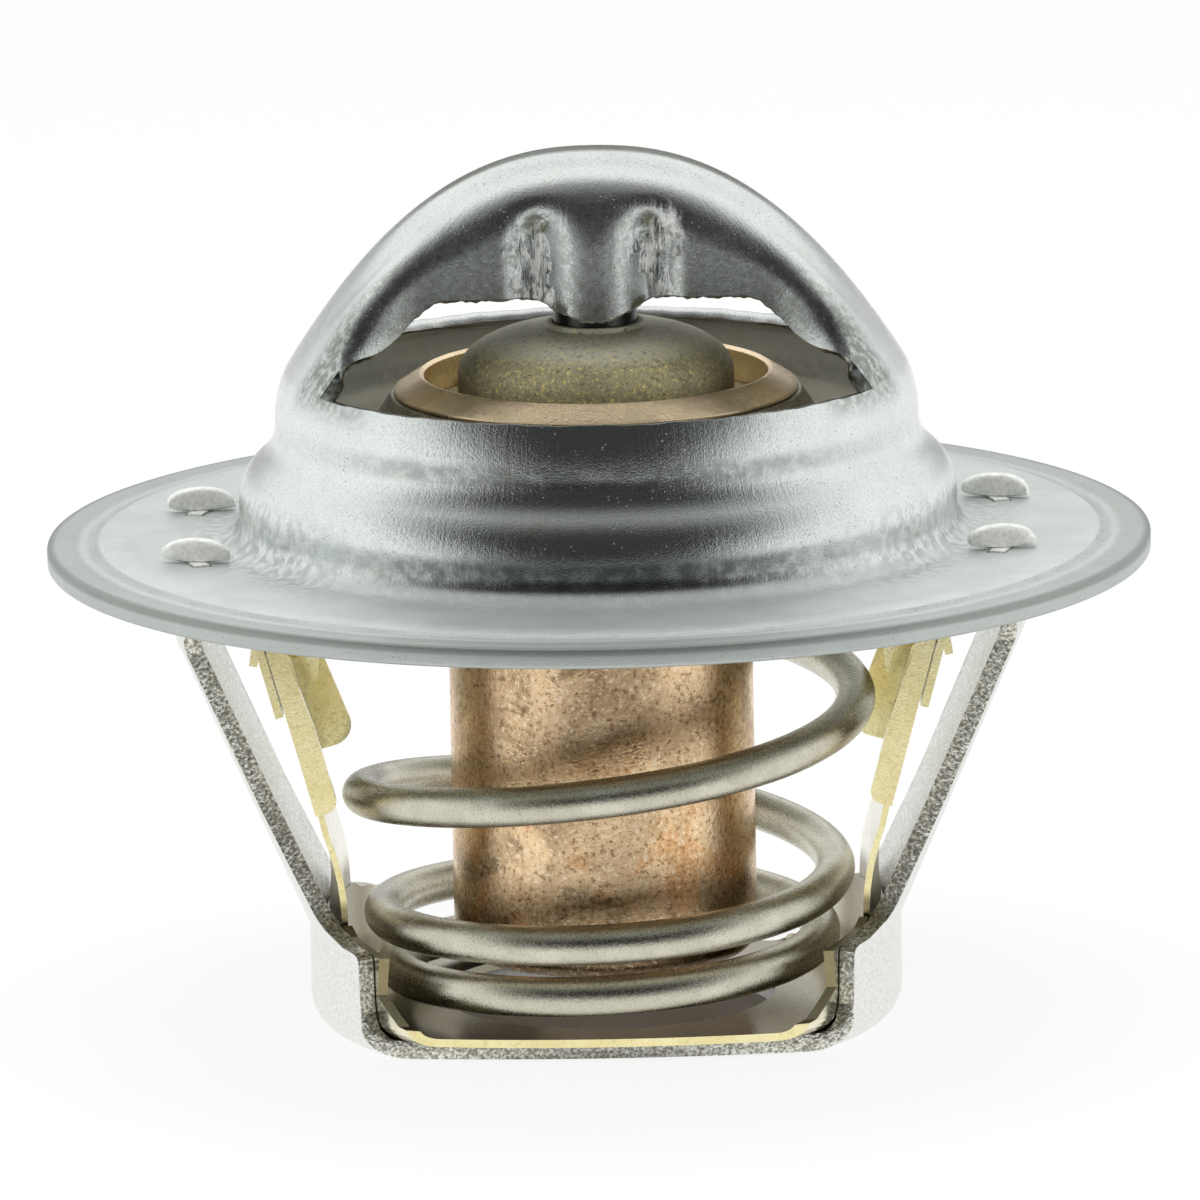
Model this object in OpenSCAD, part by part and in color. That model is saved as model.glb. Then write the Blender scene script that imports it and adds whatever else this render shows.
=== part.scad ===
// Engine coolant thermostat with a locking strap, valve closed.
// The origin is on the axis, on the flat top face of the flange. +Z points to the bridge,
// X runs through the two feet of the bridge and the two legs of the stirrup.

/* [Housing] */
// Outer diameter of the flange
flange_d = 54; // [50:0.5:60]
// Diameter of the raised flat inside the flange's rim band
seat_d = 49; // [47.5:0.5:49.5]
// Thickness of the flange
flange_t = 1; // [0.8:0.05:1.4]
// Wall thickness of the drawn collar and of the bridge
wall_t = 0.85; // [0.7:0.05:1]
// Outer diameter of the collar's lower bulge
collar_d = 35.1; // [34.6:0.1:36]
// Outer diameter of the collar at the rim of its windows
rim_d = 30.4; // [29.8:0.1:31]
// Height of the windows' rim above the flange
rim_h = 8.2; // [7.8:0.1:9]
// Height of the top of the bridge above the flange
bridge_h = 19.05; // [18.4:0.1:20.5]
// Width of the bridge over its two cheeks
bridge_w = 9.2; // [8.4:0.1:10]
// Height of the cheeks' lower edge above the flange
cheek_h = 12.4; // [12:0.1:13]

/* [Element] */
// Diameter of the piston
piston_d = 4.1; // [3.6:0.1:4.4]
// Length of the piston
piston_l = 26; // [24:0.5:28]
// Outer diameter of the copper case
case_d = 14.9; // [14:0.1:15.4]
// Depth of the case's bottom below the flange
case_depth = 21; // [19:0.5:21.5]
// Wall thickness of the case
case_t = 0.6; // [0.5:0.05:0.8]
// Inner diameter of the case's wide mouth
mouth_d = 16.8; // [16.4:0.1:17.4]
// Diameter of the brass guide's dome
guide_d = 13.5; // [12.6:0.1:14]

/* [Valve and spring] */
// Thickness of the valve disc
disc_t = 0.9; // [0.7:0.05:1.1]
// Diameter of the spring's wire
wire_d = 1.95; // [1.7:0.05:2.1]
// Outer diameter of the spring at the stirrup
spring_low_d = 22.6; // [21.6:0.1:23.4]
// Outer diameter of the spring at the valve disc
spring_top_d = 27; // [25.6:0.1:27.2]
// Turns of the spring
spring_turns = 4.45; // [4:0.05:5]

/* [Stirrup] */
// Depth of the stirrup's underside below the flange
stirrup_depth = 24.4; // [24:0.1:27]
// Thickness of the stirrup's sheet
stirrup_t = 0.85; // [0.7:0.05:1]
// Outer diameter of the stirrup's cup
cup_d = 29.1; // [28.6:0.1:30]
// Radius of the cup's bottom corner
cup_corner = 1.6; // [1.3:0.1:3]
// Width of each leg
leg_w = 10; // [9:0.1:10.6]
// Distance of the tab necks from the axis
tab_r = 20.53; // [20:0.1:21.4]
// Width of the neck of each tab
tab_w = 2.2; // [1.8:0.1:2.6]

/* [Locking strap] */
// Thickness of the strap's sheet
strap_t = 0.4; // [0.3:0.05:0.5]
// Width of the strap's narrow stems
stem_w = 8.6; // [7.6:0.1:8.8]
// Width of the strap's heads
head_w = 11.2; // [10.6:0.1:11.4]
// Width of the window in each head
window_w = 5.5; // [4.5:0.1:6]
// Depth of the stiffening flange on the front edge of each head
front_flange = 1.2; // [0.9:0.1:1.4]
// Depth of the stiffening flange on the rear edge of each head
rear_flange = 2.2; // [1.6:0.1:2.3]

/* [Hidden] */
$fn = 96;

// Running clearance of the piston in its guide
run_gap = 0.05;
// Clearance between pieces that are pressed or nested together
nest_gap = 0.03;

// Housing
flange_r = flange_d / 2;
seat_r = seat_d / 2;
collar_r = collar_d / 2;
rim_r = rim_d / 2;
band_drop = 0.15;
band_slope = 0.25;
edge_round = 0.2;
rim_lean = 25;
rim_round = 5.6;
base_fillet = 1.2;
shoulder_round = 2.6;
shoulder_z = 1.9;
neck_fillet = 1.3;
slot_gap = 0.12;
collar_flat_points = 5;
rim_arc = 85;

// Bridge: its arch falls from its top to its feet by a power of its reach from the axis
foot_inset = 0.07;
foot_r = rim_r - foot_inset;
foot_depth = 0.6;
foot_out = rim_round * (sqrt(1 - pow(sin(rim_lean) - foot_depth / rim_round, 2)) - cos(rim_lean));
foot_half_w = 7.2;
arch_drop = bridge_h - rim_h;
arch_power = 2.32;
arch_turn = 72;
cheek_y = bridge_w / 2;
crown_drop = 0.7;
crown_round = 2.3;
flare_x = 7.6;
foot_start = 9.6;
foot_end = 0.15;
foot_slant = 0.12;
window_x = 7.3;
window_fall = 3.8;
window_drop = 0.55;
edge_share = 0.55;
column_drop = 1.1;
column_half_w = 4;
column_bulge = 0.3;
pinch_x = 2.75;
pinch_half_w = 1;
pinch_depth = 1.3;
pinch_top = 1.6;
pinch_fade = 2.5;
column_bulge_w = 1.5;
way_step = 0.05;
corner_thin = 0.5;
thin_gain = 2.5;
thin_start = 1.2;
corner_x = 12.2;
corner_w = 1.4;
arch_steps = 22;
arch_crowding = 1.4;
crown_steps = 3;
round_steps = 4;
cheek_steps = 4;
side_steps = crown_steps + round_steps + cheek_steps;

// Stirrup
cup_r = cup_d / 2;
base_z = -stirrup_depth;
base_half_w = 9.2;
base_bow_r = 75;
base_side_rise = 1;
base_side_more = 0.2;
corner_half_w = 8.1;
corner_z = base_z + 5;
root_up = 6.6;
root_z = base_z + root_up;
root_steps = [[0.9, -0.9], [0.15, -0.4], [0, 0.4]];
leg_top_r = tab_r + stirrup_t / 2;
leg_lean = 23.4;
leg_bend = 2;
foot_bend = 1.2;
prong_z = -4;
tab_angle = 17.5;
prong_half_w = 7.5;
prong_steps = [[0, -0.8], [0.3, 0]];
prong_rise = 1.8;
notch_r = 2.6;
notch_z = -1;
tab_l = 3.4;
tab_h = 1.15;
tab_round = 0.6;
tab_turn = 80;
tab_play = 0.1;
tab_overlap = 0.35;
tab_root = 0.5;
hole_gap = 0.85;
bow_sides = 240;
hole_r = case_d / 2 + hole_gap;

// Locking strap
strap_z = base_z + stirrup_t;
strap_play = 0.05;
strap_r = cup_r - stirrup_t - strap_play;
strap_corner = max(cup_corner - stirrup_t, 2 * strap_play) + 3 * strap_play;
strap_half_w = 10.4;
strap_bow_r = 52;
strap_under = 1;
strap_over = 0.55;
strap_turn_half_w = 9.1;
strap_turn_up = 0.9;
strap_wall_half_w = 7.8;
strap_wall_up = 2.2;
strap_top_half_w = 8;
strap_wall_z = corner_z - 2 * strap_play;
strap_steps = [[1.1, 0.5], [0.2, 1]];
stem_root_drop = 0.8;
stem_root_z = root_z - stem_root_drop;
stem_root_x = sqrt(pow(strap_r, 2) - pow(stem_w / 2, 2));
stem_sink = 0.4;
stem_inset = 0.04;
stem_rows = 8;
stem_cols = 8;
stem_flat_by = 0.8;
head_low_z = -12.9;
head_low_x = 14.05;
head_top_z = -4.2;
head_top_x = 16.4;
hem_l = 3.8;
lip_l = 1.8;
lip_w = 4;
lip_angle = 26;
lip_bend = 0.05;
front_round = 0.6;
front_high = 4.2;
front_top = 0.8;
rear_low = 0.9;
rear_high = 6.4;
rear_mid = 1.7;
rear_top = 1.2;
rear_round = 1.1;
window_low = 3.4;
window_high = 7.8;
window_round = 0.9;
tongue_w = 3.2;
tongue_l = 2;
tongue_root = 0.5;
tongue_angle = 52;
tongue_back = 20;
tongue_end = 0.9;
dimple_up = 2;
dimple_d = 1.8;
dimple_h = 0.25;

// Element and valve
piston_r = piston_d / 2;
case_r = case_d / 2;
mouth_r = mouth_d / 2;
case_z = -case_depth;
case_corner = 1;
shoulder_low = 3;
shoulder_high = 4;
barrel_r = mouth_r + case_t;
lip_r = 9.9;
lip_edge = 0.15;
lip_top_r = 8.6;
lip_top_z = 8;
lip_inner_drop = 0.12;
piston_head_gap = 0.2;
piston_top = bridge_h - wall_t - piston_head_gap;
piston_end = piston_top - piston_l;
piston_chamfer = 0.4;
tip_l = 1.15;
tip_r = 0.9;
guide_r = guide_d / 2;
boot_flange_t = 0.8;
boot_seat_up = 0.45;
guide_low = shoulder_high + boot_seat_up + boot_flange_t;
guide_flange_t = 1.1;
guide_side = 7.9;
guide_top = 10.2;
guide_neck_wall = 0.35;
guide_neck_r = piston_r + guide_neck_wall;
guide_neck_h = 0.25;
ring_t = 0.4;
ring_w = 1.6;
ring_outer_r = piston_r + ring_w;
boot_wall = 1.1;
boot_gap = 0.08;
boot_end_gap = 0.3;
boot_end = 1.5;
seal_gap = 0.06;
disc_ring_z = 7;
disc_ring_w = 1;
disc_slope_end = 12.2;
boot_low = piston_end - boot_end_gap - boot_end;

// Seat inside the collar: the centre of the neck fillet, and the edge of the disc against it
neck_r = rim_r + rim_round * (1 - cos(rim_lean));
neck_x = neck_r + neck_fillet;
neck_away = neck_x - (collar_r - shoulder_round);
neck_z = shoulder_z + sqrt(pow(shoulder_round + neck_fillet, 2) - pow(neck_away, 2));
neck_angle = atan2(neck_z - shoulder_z, neck_away);
seat_angle = 224;
seat_reach = neck_fillet + wall_t + seal_gap;
disc_r = neck_x + seat_reach * cos(seat_angle);
disc_z = neck_z + seat_reach * sin(seat_angle);

// Spring
spring_low_z = strap_z + strap_t + wire_d / 2 + nest_gap;
spring_top_z = disc_z - disc_t - wire_d / 2 - nest_gap;
ring_step = 12;
wire_sides = 10;
closed_pitch = 2.75;
active_pitch = 9;
low_closed = 1.35;
top_closed = 3.3;
pitch_blend = 0.62;
spring_start = -250;
spring_wide = 2.75;
spring_flare = 1.6;
ring_count = round(spring_turns * 360 / ring_step);

// Colours
zinc = [0.78, 0.79, 0.80];
steel = [0.72, 0.72, 0.71];
gold = [0.85, 0.77, 0.50];
wire = [0.56, 0.54, 0.47];
copper = [0.76, 0.50, 0.34];
brass = [0.55, 0.50, 0.30];
dark = [0.25, 0.25, 0.27];
rubber = [0.12, 0.12, 0.12];
wax = [0.82, 0.70, 0.45];
white = [0.9, 0.9, 0.88];

// ---- Functions ----

function unit(v) = v / norm(v);
function left(v) = [-v.y, v.x];
function mix(a, b, k) = a + (b - a) * k;
// Smooth step from 0 to 1
function ease(k) = let (c = min(max(k, 0), 1)) c * c * (3 - 2 * c);
// Points of an arc about c
function arc(c, r, a0, a1, n) =
    [for (i = [0:n]) let (a = mix(a0, a1, i / n)) c + r * [cos(a), sin(a)]];
// The way a sheet's thickness lies at point i of a line, longer at a corner
function mitre(p, i) =
    let (n = len(p))
    let (a = left(unit(p[min(i + 1, n - 1)] - p[min(i, n - 2)])))
    let (b = left(unit(p[max(i, 1)] - p[max(i - 1, 0)])))
    let (m = unit(a + b))
    m / (m * a);
// Outline of a sheet of thickness t, or of one thickness per point, to the left of line p
function sheet(p, t) =
    concat(p, [for (i = [len(p) - 1:-1:0]) p[i] + (is_list(t) ? t[i] : t) * mitre(p, i)]);
function mirrored(p) = concat(p, [for (i = [len(p) - 1:-1:0]) [-p[i].x, p[i].y]]);

// Revolves a section given as [radius, height] points
module turned(points) {
    rotate_extrude() polygon(points);
}

// Extrudes an outline in X and Z through width w, centred on y
module across(w, y = 0) {
    translate([0, y + w / 2, 0]) rotate([90, 0, 0]) linear_extrude(w) children();
}

// Extrudes an outline in Y and Z along the whole of X
module lengthwise(l) {
    translate([-l / 2, 0, 0]) rotate([90, 0, 90]) linear_extrude(l) children();
}

module both_sides() {
    children();
    mirror([1, 0, 0]) children();
}

// ---- Housing ----

collar_line = concat(
    [[flange_r - edge_round, -band_drop], [seat_r + band_slope, -band_drop], [seat_r, 0]],
    arc([collar_r + base_fillet, base_fillet], base_fillet, 270, 180, 6),
    arc([collar_r - shoulder_round, shoulder_z], shoulder_round, 0, neck_angle, 9),
    arc([neck_x, neck_z], neck_fillet, 180 + neck_angle, 180, 6),
    arc([neck_r - rim_round, rim_h - rim_round * sin(rim_lean)], rim_round, 0, rim_lean, 4));
collar_sheet = sheet(collar_line,
    [for (i = [0:len(collar_line) - 1]) i < collar_flat_points ? flange_t : wall_t]);

module collar() {
    turned(concat(
        collar_sheet,
        arc([flange_r - edge_round, -band_drop - flange_t + edge_round], edge_round, -rim_arc, 0, 3),
        arc([flange_r - edge_round, -band_drop - edge_round], edge_round, 0, rim_arc, 3)));
}

// Height of the arch at reach x, and its reach at height z
function arch_height(x) = bridge_h - arch_drop * pow(x / foot_r, arch_power);
function arch_reach(z) = foot_r * pow((bridge_h - z) / arch_drop, 1 / arch_power);

// Height of the cheeks' lower edge where the arch above it has reached x
function cheek_low(x) =
    let (fall = window_drop * ease((x - window_x) / window_fall)
        + (1 - window_drop) * pow(max(x - window_x, 0) / (foot_r - window_x), 4))
    mix(cheek_h - column_drop * ease(1 - x / column_half_w), rim_h, fall);

// Half-width of the bridge over its cheeks there
function cheek_edge_y(x) = mix(cheek_y, foot_half_w, ease((x - flare_x) / (foot_r - flare_x)));

// Section of the bridge where its arch reaches x: [half-width, height] at step n from the crown
function box_point(x, n) =
    let (w = cheek_edge_y(x))
    let (flat_w = w - crown_round)
    let (crown_z = arch_height(x) - crown_drop)
    let (round_h = min(crown_round, edge_share * (crown_z - cheek_low(x))))
    n <= crown_steps
        ? [flat_w * n / crown_steps, crown_z + crown_drop * (1 - pow(n / crown_steps, 2))]
    : n <= crown_steps + round_steps
        ? let (b = 90 * (n - crown_steps) / round_steps)
          [flat_w + crown_round * sin(b), crown_z - round_h * (1 - cos(b))]
    : let (k = (n - crown_steps - round_steps) / cheek_steps)
      [w, mix(crown_z - round_h, cheek_low(x), k)];

// Point of the bridge's outer face at signed reach x and signed step j:
// a box section in the middle, turning into the round of the collar at the feet
function skin_point(x, j) =
    let (b = abs(x))
    let (share = abs(j) / side_steps)
    let (p = box_point(b, abs(j)))
    let (box = [b * (1 - foot_slant * pow(b / foot_r, 4) * share), p.x, p.y])
    let (z = mix(arch_height(b), cheek_low(b), share * share))
    let (r = arch_reach(z))
    let (turn = share * asin(foot_half_w / max(r, foot_half_w + 1)))
    let (dome = [r * cos(turn), r * sin(turn), z])
    let (q = mix(box, dome, ease((b - foot_start) / (foot_r - foot_end - foot_start))))
    [sign(x) * q.x, sign(j) * q.y, q.z];

// Outward direction of that face
function skin_way(x, j) =
    let (along = skin_point(x + way_step, j) - skin_point(x - way_step, j))
    let (over = skin_point(x, min(j + way_step, side_steps)) - skin_point(x, max(j - way_step, -side_steps)))
    unit(cross(along, over));

// How far a cheek is pinched in beside the piston, and bulged out over it
function pinch(x, z) =
    ease((bridge_h - pinch_top - z) / pinch_fade)
    * (pinch_depth * exp(-pow((abs(x) - pinch_x) / pinch_half_w, 2))
       - column_bulge * exp(-pow(x / column_bulge_w, 2)));

// Point of the skin, t inside the outer face; the sheet is drawn thin at the windows' corners
function bridge_point(x, j, t) =
    let (p = skin_point(x, j))
    let (thin = corner_thin * ease(thin_gain * abs(j) / side_steps - thin_start)
        * exp(-pow((abs(x) - corner_x) / corner_w, 2)))
    let (q = p - t * (1 - thin) * skin_way(x, j))
    abs(j) > crown_steps ? q - [0, sign(j) * pinch(p.x, p.z), 0] : q;

// Skin thickness: a little less in the feet, so that they end inside the collar's wall
function bridge_t(x) = mix(wall_t, wall_t - 2 * foot_inset, ease((abs(x) - foot_start) / 2));

function bridge_ring(x) = concat(
    [for (j = [-side_steps:side_steps]) bridge_point(x, j, 0)],
    [for (j = [side_steps:-1:-side_steps]) bridge_point(x, j, bridge_t(x))]);

function sunk_ring(x) =
    [for (p = bridge_ring(x)) p + [sign(x) * foot_out, 0, -foot_depth]];

module bridge() {
    reaches = [for (i = [-arch_steps:arch_steps])
        foot_r * sin(arch_turn * sign(i) * pow(abs(i) / arch_steps, arch_crowding)) / sin(arch_turn)];
    rings = concat([sunk_ring(-foot_r)], [for (x = reaches) bridge_ring(x)], [sunk_ring(foot_r)]);
    m = len(rings[0]);
    last = len(rings) - 1;
    points = [for (r = rings) each r];
    walls = [for (i = [0:last - 1], j = [0:m - 1])
        let (k = (j + 1) % m)
        each [[i * m + j, i * m + k, (i + 1) * m + j], [i * m + k, (i + 1) * m + k, (i + 1) * m + j]]];
    caps = [[for (j = [m - 1:-1:0]) j], [for (j = [0:m - 1]) last * m + j]];
    polyhedron(points, concat(walls, caps), convexity = 6);
}

// Places children at each of the four tabs
module at_tabs() {
    for (side = [0, 180], a = [-tab_angle, tab_angle])
        rotate([0, 0, side + a]) translate([tab_r, 0, 0]) children();
}

module housing() {
    color(zinc) difference() {
        union() {
            collar();
            bridge();
        }
        at_tabs() cube([stirrup_t + 2 * slot_gap, tab_w + 2 * slot_gap, 4 * flange_t], center = true);
    }
}

// ---- Stirrup ----

// Line of the outer face, from the hole in the base up to the underside of the flange
leg_knee = [leg_top_r - leg_bend * (1 - cos(leg_lean)), prong_z - leg_bend * sin(leg_lean)];
leg_foot_x = cup_r + foot_bend * (1 - cos(leg_lean));
leg_foot_z = leg_knee.y - (leg_knee.x - leg_foot_x) / tan(leg_lean) - foot_bend * sin(leg_lean);
stirrup_line = concat(
    [[hole_r, base_z]],
    arc([cup_r - cup_corner, base_z + cup_corner], cup_corner, -90, 0, 8),
    arc([cup_r + foot_bend, leg_foot_z], foot_bend, 180, 180 - leg_lean, 4),
    arc([leg_top_r - leg_bend, prong_z], leg_bend, -leg_lean, 0, 4),
    [[leg_top_r, -flange_t - nest_gap]]);

// Half of the stirrup's side view, from the base up
stirrup_side = [
    [base_half_w + base_side_rise, base_z - base_side_rise],
    [base_half_w + base_side_more, base_z + base_side_rise],
    [corner_half_w, corner_z],
    for (s = root_steps) [leg_w / 2 + s.x, root_z + s.y],
    for (s = prong_steps) [leg_w / 2 + s.x, prong_z + s.y],
    [prong_half_w, prong_z + prong_rise],
    [prong_half_w, 0]];

// Plan of a base whose front and rear edges bow out by circles of radius r
module bowed_plan(half_w, r) {
    intersection() {
        translate([0, r - half_w]) circle(r, $fn = bow_sides);
        translate([0, half_w - r]) circle(r, $fn = bow_sides);
    }
}

// A tab's neck stands in its slot; its head is turned across the slot and lies on the flange
module tab() {
    tab_t = stirrup_t - tab_play;
    neck_h = flange_t + tab_root + tab_overlap;
    translate([0, 0, tab_overlap - neck_h / 2])
        cube([tab_t, tab_w, neck_h], center = true);
    rotate(tab_turn) translate([tab_t / 2, 0, 0]) rotate([90, 0, -90]) linear_extrude(tab_t)
        polygon(mirrored(concat(
            [[0, nest_gap], [tab_l / 2 - tab_round, nest_gap]],
            arc([tab_l / 2 - tab_round, tab_h - tab_round], tab_round, -60, 90, 6),
            [[0, tab_h]])));
}

module stirrup() {
    color(steel) {
        difference() {
            intersection() {
                turned(sheet(stirrup_line, stirrup_t));
                lengthwise(2 * flange_d) polygon(mirrored(stirrup_side));
                translate([0, 0, 2 * base_z]) linear_extrude(-2 * base_z)
                    bowed_plan(base_half_w, base_bow_r);
            }
            lengthwise(2 * flange_d)
                polygon(concat([[notch_r, flange_t], [-notch_r, flange_t]],
                    arc([0, notch_z], notch_r, 180, 360, 12)));
        }
        at_tabs() tab();
    }
}

// ---- Locking strap ----

// Line of the outer face of the cup, from the hole up to the foot of the stems
strap_line = concat(
    [[hole_r, strap_z]],
    arc([strap_r - strap_corner, strap_z + strap_corner], strap_corner, -90, 0, 6),
    [[strap_r, stem_root_z]]);
strap_side = [
    [strap_half_w + strap_under, strap_z - strap_under],
    [strap_half_w, strap_z + strap_over],
    [strap_turn_half_w, strap_z + strap_turn_up],
    [strap_wall_half_w, strap_z + strap_wall_up],
    [strap_top_half_w, strap_wall_z],
    for (s = strap_steps) [stem_w / 2 + s.x, strap_wall_z + s.y],
    [stem_w / 2, stem_root_z]];

head_tilt = atan2(head_top_x - head_low_x, head_top_z - head_low_z);
head_l = norm([head_top_x - head_low_x, head_top_z - head_low_z]);

// Point of a stem at height share k and width share j, t inside its outer face:
// round like the cup at its root, flat under the head
function stem_point(k, j, t) =
    let (y = stem_w / 2 * j)
    let (z = mix(stem_root_z - stem_sink, head_low_z + stem_sink, k))
    let (rise = (z - stem_root_z) / (head_low_z - stem_root_z))
    let (flat = head_low_x - (head_low_z - z) * (head_low_x - stem_root_x) / (head_low_z - stem_root_z))
    let (curved = sqrt(pow(strap_r, 2) - y * y))
    [mix(curved, flat, min(max(rise / stem_flat_by, 0), 1)) - t, y, z];

module stem() {
    rows = stem_rows;
    cols = stem_cols;
    layer = (rows + 1) * (cols + 1);
    skin_t = [stem_inset, strap_t - stem_inset];
    points = [for (t = skin_t, i = [0:rows], j = [0:cols]) stem_point(i / rows, 2 * j / cols - 1, t)];
    function at(s, i, j) = s * layer + i * (cols + 1) + j;
    outer = [for (i = [0:rows - 1], j = [0:cols - 1])
        each [[at(0, i, j), at(0, i + 1, j), at(0, i, j + 1)],
              [at(0, i, j + 1), at(0, i + 1, j), at(0, i + 1, j + 1)]]];
    inner = [for (i = [0:rows - 1], j = [0:cols - 1])
        each [[at(1, i, j), at(1, i, j + 1), at(1, i + 1, j)],
              [at(1, i, j + 1), at(1, i + 1, j + 1), at(1, i + 1, j)]]];
    sides = [for (i = [0:rows - 1])
        each [[at(0, i, 0), at(1, i, 0), at(1, i + 1, 0)], [at(0, i, 0), at(1, i + 1, 0), at(0, i + 1, 0)],
              [at(0, i, cols), at(1, i + 1, cols), at(1, i, cols)],
              [at(0, i, cols), at(0, i + 1, cols), at(1, i + 1, cols)]]];
    ends = [for (j = [0:cols - 1])
        each [[at(0, 0, j), at(0, 0, j + 1), at(1, 0, j + 1)], [at(0, 0, j), at(1, 0, j + 1), at(1, 0, j)],
              [at(0, rows, j), at(1, rows, j + 1), at(0, rows, j + 1)],
              [at(0, rows, j), at(1, rows, j), at(1, rows, j + 1)]]];
    polyhedron(points, concat(outer, inner, sides, ends), convexity = 4);
}

// The head of an arm lies in its own frame: outer face at x = 0, lower end at z = 0
module head() {
    hem_low = head_l - hem_l;
    hem_line = concat(
        [[0, 0]],
        arc([lip_bend, head_l], lip_bend, 180, 0, 6),
        [[2 * lip_bend, hem_low]]);
    tongue_line = [
        [0, window_high + tongue_root],
        [0, window_high],
        [-tongue_l * sin(tongue_angle), window_high - tongue_l * cos(tongue_angle)],
        [-tongue_l * sin(tongue_angle) + tongue_end * sin(tongue_back),
            window_high - tongue_l * cos(tongue_angle) - tongue_end * cos(tongue_back)]];
    lip_line = [
        [2 * lip_bend + strap_t / 2, head_l],
        [2 * lip_bend + strap_t, head_l],
        [2 * lip_bend + strap_t + lip_l * sin(lip_angle), head_l - lip_l * cos(lip_angle)]];
    difference() {
        across(head_w) polygon(sheet(hem_line, strap_t));
        translate([-window_w / 2, 0, window_low]) rotate([90, 0, 90]) linear_extrude(window_w)
            polygon(mirrored(concat(
                arc([window_w / 2 - window_round, window_round], window_round, -90, 0, 5),
                [[window_w / 2, window_high - window_low]])));
    }
    across(tongue_w) polygon(sheet(tongue_line, -strap_t));
    across(lip_w) polygon(sheet(lip_line, -strap_t));
    translate([0, 0, dimple_up]) rotate([0, 90, 0]) cylinder(dimple_h, dimple_d / 2, dimple_d / 2 - dimple_h);
    across(strap_t, -head_w / 2 + strap_t / 2)
        polygon(concat(
            [[0, 0], [0, head_l], [-front_top, head_l], [-front_flange, front_high]],
            arc([front_round - front_flange, front_round], front_round, 180, 270, 6)));
    across(strap_t, head_w / 2 - strap_t / 2)
        polygon(concat(
            [[0, rear_low], [0, head_l], [-rear_top, head_l], [-rear_mid, rear_high]],
            arc([rear_round - rear_flange, rear_low + rear_round], rear_round, 165, 270, 8)));
}

module locking_strap() {
    color(gold) {
        intersection() {
            turned(sheet(strap_line, strap_t));
            lengthwise(2 * flange_d) polygon(mirrored(strap_side));
            translate([0, 0, 2 * base_z]) linear_extrude(-2 * base_z)
                bowed_plan(strap_half_w, strap_bow_r);
        }
        both_sides() {
            stem();
            translate([head_low_x, 0, head_low_z]) rotate([0, head_tilt, 0]) head();
        }
    }
}

// ---- Piston ----

module piston() {
    color(dark) turned([
        [0, piston_end],
        [piston_r - piston_chamfer, piston_end],
        [piston_r, piston_end + 2 * piston_chamfer],
        [piston_r, piston_top - tip_l],
        [tip_r, piston_top],
        [0, piston_top]]);
}

// ---- Main spring ----

// Pitch at t turns from the lower end, before it is scaled to the space between the seats
function pitch(t) =
    mix(closed_pitch, active_pitch,
        ease((t - low_closed) / pitch_blend) * (1 - ease((t - top_closed) / pitch_blend)));
climb = [for (i = 0, z = 0; i <= ring_count; z = z + pitch((i + 0.5) * ring_step / 360), i = i + 1) z];

module main_spring() {
    rings = [for (i = [0:ring_count])
        let (turns = i * ring_step / 360)
        let (a = spring_start + 360 * turns)
        let (z = mix(spring_low_z, spring_top_z, climb[i] / climb[ring_count]))
        let (flare = pow(min(turns / spring_wide, 1), spring_flare))
        let (r = (mix(spring_low_d, spring_top_d, flare) - wire_d) / 2)
        [for (j = [0:wire_sides - 1])
            let (b = 360 * j / wire_sides)
            let (out = r + wire_d / 2 * cos(b))
            [out * cos(a), out * sin(a), z + wire_d / 2 * sin(b)]]];
    points = [for (ring = rings) each ring];
    n = wire_sides;
    last = len(rings) - 1;
    walls = [for (i = [0:last - 1], j = [0:n - 1])
        let (k = (j + 1) % n)
        each [[i * n + j, (i + 1) * n + j, i * n + k], [i * n + k, (i + 1) * n + j, (i + 1) * n + k]]];
    caps = [[for (j = [0:n - 1]) j], [for (j = [n - 1:-1:0]) last * n + j]];
    color(wire) polyhedron(points, concat(walls, caps), convexity = 10);
}

// ---- Valve disc ----

module valve_disc() {
    inner = barrel_r + nest_gap;
    color(steel) turned(sheet([
        [disc_r, disc_z],
        [disc_slope_end, disc_z],
        [inner + disc_ring_w, disc_ring_z],
        [inner, disc_ring_z]], disc_t));
}

// ---- Wax element ----

lip_z = disc_ring_z + nest_gap;
case_line = concat(
    [[0, case_z]],
    arc([case_r - case_corner, case_z + case_corner], case_corner, -90, 0, 5),
    [[case_r, shoulder_low], [barrel_r, shoulder_high], [barrel_r, lip_z]]);

// A cup whose mouth is folded out over the valve disc as a conical lip
module element_case() {
    wall = sheet(case_line, case_t);
    n = len(case_line);
    color(copper) turned(concat(
        case_line,
        [[lip_r, lip_z], [lip_r, lip_z + lip_edge], [lip_top_r, lip_top_z],
         [mouth_r, lip_top_z - lip_inner_drop]],
        [for (i = [n:2 * n - 1]) wall[i]]));
}

module guide_dome() {
    bore_r = piston_r + run_gap;
    color(brass) turned(concat(
        [[bore_r, guide_low + ring_t + nest_gap], [ring_outer_r + nest_gap, guide_low + ring_t + nest_gap],
         [ring_outer_r + nest_gap, guide_low], [mouth_r - nest_gap, guide_low],
         [mouth_r - nest_gap, guide_low + guide_flange_t], [guide_r, guide_low + guide_flange_t]],
        [for (i = [0:9]) let (a = 10 * i)
            [mix(guide_neck_r, guide_r, cos(a)), mix(guide_side, guide_top, sin(a))]],
        [[guide_neck_r, guide_top], [guide_neck_r, guide_top + guide_neck_h],
         [bore_r, guide_top + guide_neck_h]]));
}

module back_up_ring() {
    color(white) turned([
        [piston_r + run_gap, guide_low], [ring_outer_r, guide_low],
        [ring_outer_r, guide_low + ring_t], [piston_r + run_gap, guide_low + ring_t]]);
}

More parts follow.
